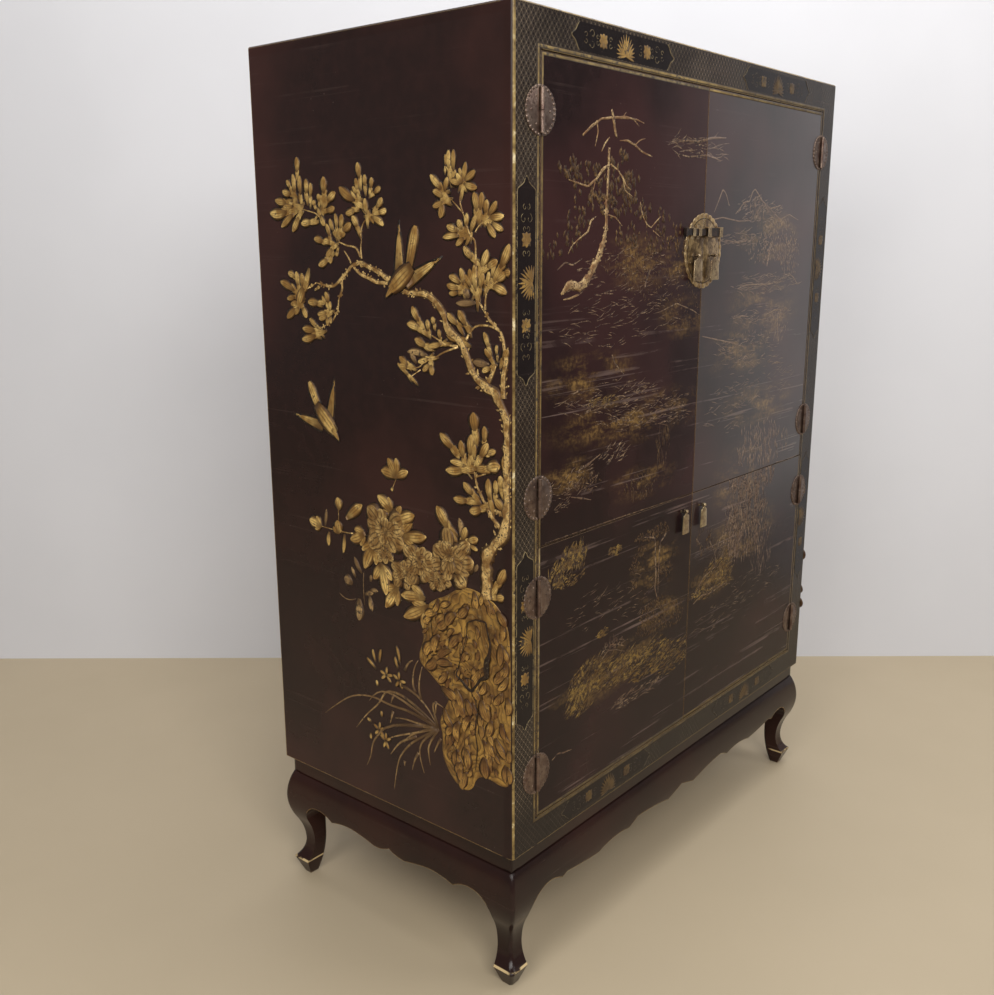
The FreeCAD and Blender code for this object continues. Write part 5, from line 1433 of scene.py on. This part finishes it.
dark_iron, tree, surface = new_finish("dark_iron", Metallic=0.7)
tone = grain(tree, 60.0, detail=6.0, rough=0.65)
pits = step(tree, grain(tree, 260.0, detail=4.0), 0.50, 0.66)
colour = mix(tree, step(tree, tone, 0.4, 0.65), tint(44, 38, 36), tint(74, 58, 50))
rubbed = use(tree, edge_wear, Radius=0.001, Amount=0.7, Scale=140.0)["Mask"]
colour = mix(tree, rubbed, colour, tint(150, 130, 112))
dress(tree, surface, colour, step(tree, pits, 0.0, 1.0, 0.35, 0.6), pits, 0.0002)


def add_softened(node, material, body):
    """Adds a fitting with the same shape as its node, its edges filed round."""
    bm = bmesh.new()
    bm.from_mesh(nodes[node].data)
    bmesh.ops.remove_doubles(bm, verts=bm.verts, dist=0.00001)
    bmesh.ops.dissolve_limit(bm, angle_limit=0.02, verts=bm.verts, edges=bm.edges)
    file_round(bm, [e for e in bm.edges if e.calc_face_angle(0) > 0.5], 0.0005, clamp_overlap=True)
    bmesh.ops.recalc_face_normals(bm, faces=bm.faces)
    piece = new_piece(node + "_filed", bm, material)
    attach(piece, body)
    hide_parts(node)


add_softened("lock_bolt", dark_iron, "bolt")
add_softened("bolt_receiver", dark_iron, "door_upper_right")
add_softened("bolt_guides", lock_brass, "door_upper_left")
add_softened("receiver_straps", lock_brass, "door_upper_right")

# ---- The pulls -----------------------------------------------------------------------------------
# Cast brass plaques that hang by an eye from staples bent out of brass rod. The staples are driven
# through small roses into the doors, and their ends are held in the wood.

pull_brass = brass("pull_brass", (196, 176, 136), (138, 114, 86), (64, 48, 36), 0.6)
staple_brass = brass("staple_brass", (92, 76, 60), (58, 46, 37), (32, 25, 21), 0.4)
PULL_PLACES = {"upper_left": (-38.0, -354.1, 1511.0), "upper_right": (38.0, -354.1, 1511.0),
               "lower_left": (-42.0, -352.1, 928.0), "lower_right": (42.0, -352.1, 928.0)}
# Height above the pin and half width of a door pull, from its top down.
PULL_WIDTHS = [(4.3, 4.0), (-4.5, 4.0), (-6.5, 4.6), (-8.0, 7.6), (-9.6, 10.4), (-11.5, 11.7),
               (-13.5, 12.1), (-24, 12.6), (-36, 13.3), (-46, 14.0), (-51.5, 14.5), (-53.4, 14.0),
               (-54.0, 12.8)]
# Half the staple's width between its legs' middles, and how far its bar stands out of the face.
STAPLE_HALF, STAPLE_OUT = 8.6, 9.5
# Where the middle of a pull's staple meets the face behind it.
for door, (x, face, z) in PULL_PLACES.items():
    bar = bpy.data.curves.new("bar", "CURVE")
    bar.dimensions = "3D"
    bar.bevel_depth = 1.4
    bar.bevel_resolution = 4
    bar.use_fill_caps = True
    spline = bar.splines.new("NURBS")
    half_path = [(STAPLE_HALF, 12, 0), (STAPLE_HALF, 3, 0), (STAPLE_HALF, -7.0, 0), (8.2, -STAPLE_OUT, 0),
                 (5.0, -STAPLE_OUT, 0)]
    path = [(-x_at, y_at, z_at) for x_at, y_at, z_at in half_path] + half_path[::-1]
    spline.points.add(len(path) - 1)
    for point, at in zip(spline.points, path):
        point.co = (*at, 1)
    spline.order_u = 3
    spline.use_endpoint_u = True
    spline.resolution_u = 6
    bm = bmesh.new()
    add_curve(bm, bar)
    for offset in (-STAPLE_HALF, STAPLE_HALF):
        add_dome(bm, offset, 0, 0, 3.6, 1.3, 14, 6)
    fitting(f"staple_rod_{door}", bm, Matrix.Translation((x, face, z)), staple_brass, f"door_{door}",
            f"staple_{door}", sharp=40)

    bm = bmesh.new()
    bmesh.ops.create_grid(bm, x_segments=6, y_segments=len(PULL_WIDTHS) - 1, size=0.5)
    for vert in bm.verts:
        share = min(len(PULL_WIDTHS) - 1, max(0, round((0.5 - vert.co.y) * (len(PULL_WIDTHS) - 1))))
        drop, half = PULL_WIDTHS[share]
        if door.startswith("upper"):
            half += 4.5 * min(1.0, max(0.0, (-6.5 - drop) / 5))
        across = vert.co.x * 2
        crown = 0.35 * (1 - across ** 2) if drop < -8 else 0.0
        vert.co = Vector((across * half, -1.1 - crown, drop))
    lifted = bmesh.ops.extrude_face_region(bm, geom=bm.faces[:])["geom"]
    for vert in corners(lifted):
        vert.co.y = 1.4
    bore = [v for v in bm.verts if v.co.z > -4.4]
    bmesh.ops.delete(bm, geom=bore, context="VERTS")
    bmesh.ops.holes_fill(bm, edges=[e for e in bm.edges if e.is_boundary], sides=0)
    bmesh.ops.recalc_face_normals(bm, faces=bm.faces)
    rim = [e for e in bm.edges if e.calc_face_angle(0) > 1.0]
    file_round(bm, rim, 0.5)
    eye = bmesh.new()
    add_tube(eye, (0, 0), -4.0, 8.0, 4.3, 2.3)
    bmesh.ops.rotate(eye, cent=(0, 0, 0), matrix=Matrix.Rotation(math.pi / 2, 3, "Y"), verts=eye.verts)
    join(eye, bm)
    metal = lock_brass if door.startswith("upper") else pull_brass
    fitting(f"pull_plaque_{door}", bm, Matrix.Translation((x, face - STAPLE_OUT, z)), metal,
            f"hanging_pull_{door}", f"pull_{door}", merge=0)

# ---- The studio ----------------------------------------------------------------------------------
# A plain pale floor and a plain pale wall behind, large soft lamps, and a camera at standing height
# off the cabinet's front left corner.

CAMERA_AT = Vector((-2.150, -1.547, 1.539))
HEADING, PITCH, ROLL = math.radians(50.09), math.radians(-13.62), math.radians(-0.16)
camera = bpy.data.objects.new("camera", bpy.data.cameras.new("camera"))
camera.data.lens, camera.data.sensor_width = 37.95, 36.0
camera.data.clip_end = 60.0
looking = Vector((math.sin(HEADING) * math.cos(PITCH), math.cos(HEADING) * math.cos(PITCH),
                  math.sin(PITCH)))
camera.matrix_world = (Matrix.Translation(CAMERA_AT) @ looking.to_track_quat("-Z", "Y").to_matrix().to_4x4()
                       @ Matrix.Rotation(ROLL, 4, "Z"))
bpy.context.scene.collection.objects.link(camera)
bpy.context.scene.camera = camera


def stage_sheet(name, wide, tall, place, colour, rough):
    """A large flat sheet that isn't part of the cabinet; from behind it can't be seen."""
    material, tree, surface = new_finish(name)
    cloud = grain(tree, 1.5, detail=3.0)
    darker = tint(*[share * 0.93 for share in colour])
    shade = mix(tree, step(tree, cloud, 0.3, 0.7, 0.0, 0.25), tint(*colour), darker)
    dress(tree, surface, shade, step(tree, cloud, 0.3, 0.7, rough, rough + 0.1))
    clear = add(tree, "BsdfTransparent").outputs[0]
    behind = add(tree, "NewGeometry").outputs["Backfacing"]
    cover = add(tree, "MixShader", {0: behind, 1: surface.outputs[0], 2: clear}).outputs[0]
    tree.links.new(cover, tree.nodes["Material Output"].inputs["Surface"])
    bm = bmesh.new()
    bmesh.ops.create_grid(bm, x_segments=8, y_segments=8, size=0.5,
                          matrix=place @ Matrix.Diagonal((wide, tall, 1, 1)))
    new_piece(name, bm, material)


WALL_AWAY = 3.757
stage_sheet("floor", 14, 14, Matrix.Identity(4), (183, 167, 140), 0.5)
ahead = Vector((math.sin(HEADING), math.cos(HEADING), 0))
wall_at = Vector((CAMERA_AT.x, CAMERA_AT.y, 0)) + ahead * WALL_AWAY
to_the_right = Vector((ahead.y, -ahead.x, 0))
wall_middle = wall_at + to_the_right * 0.65 + Vector((0, 0, 2.3))
stage_sheet("wall", 6.5, 4.6, Matrix.Translation(wall_middle) @ Matrix.Rotation(-HEADING, 4, "Z")
            @ Matrix.Rotation(math.pi / 2, 4, "X"), (212, 212, 216), 0.7)


def lamp(name, at, aim, size, power, colour):
    light = bpy.data.objects.new(name, bpy.data.lights.new(name, "AREA"))
    light.data.shape = "RECTANGLE"
    light.data.size, light.data.size_y = size
    light.data.energy = power
    light.data.color = colour
    light.location = at
    light.rotation_euler = (Vector(aim) - Vector(at)).to_track_quat("-Z", "Y").to_euler()
    bpy.context.scene.collection.objects.link(light)


lamp("key", (-3.0, -3.6, 3.6), (0, 0, 1.0), (2.6, 2.2), 180, (1.0, 0.98, 0.95))
lamp("fill", (1.7, -4.3, 3.3), (0.2, 0, 0.9), (1.8, 1.8), 36, (0.97, 0.98, 1.0))
lamp("side", (-3.8, -0.9, 2.9), (0, 0, 0.9), (1.8, 1.8), 58, (1.0, 0.98, 0.95))
lamp("backdrop", (0.4, -0.4, 4.4), (1.6, 1.6, 0.6), (3.4, 2.6), 99, (0.97, 0.98, 1.0))

world = bpy.data.worlds.new("studio")
world.use_nodes = True
soft = world.node_tree.nodes["Background"]
soft.inputs["Color"].default_value = (0.94, 0.95, 0.97, 1.0)
soft.inputs["Strength"].default_value = 0.18
bpy.context.scene.world = world
bpy.context.scene.view_settings.view_transform = "Standard"
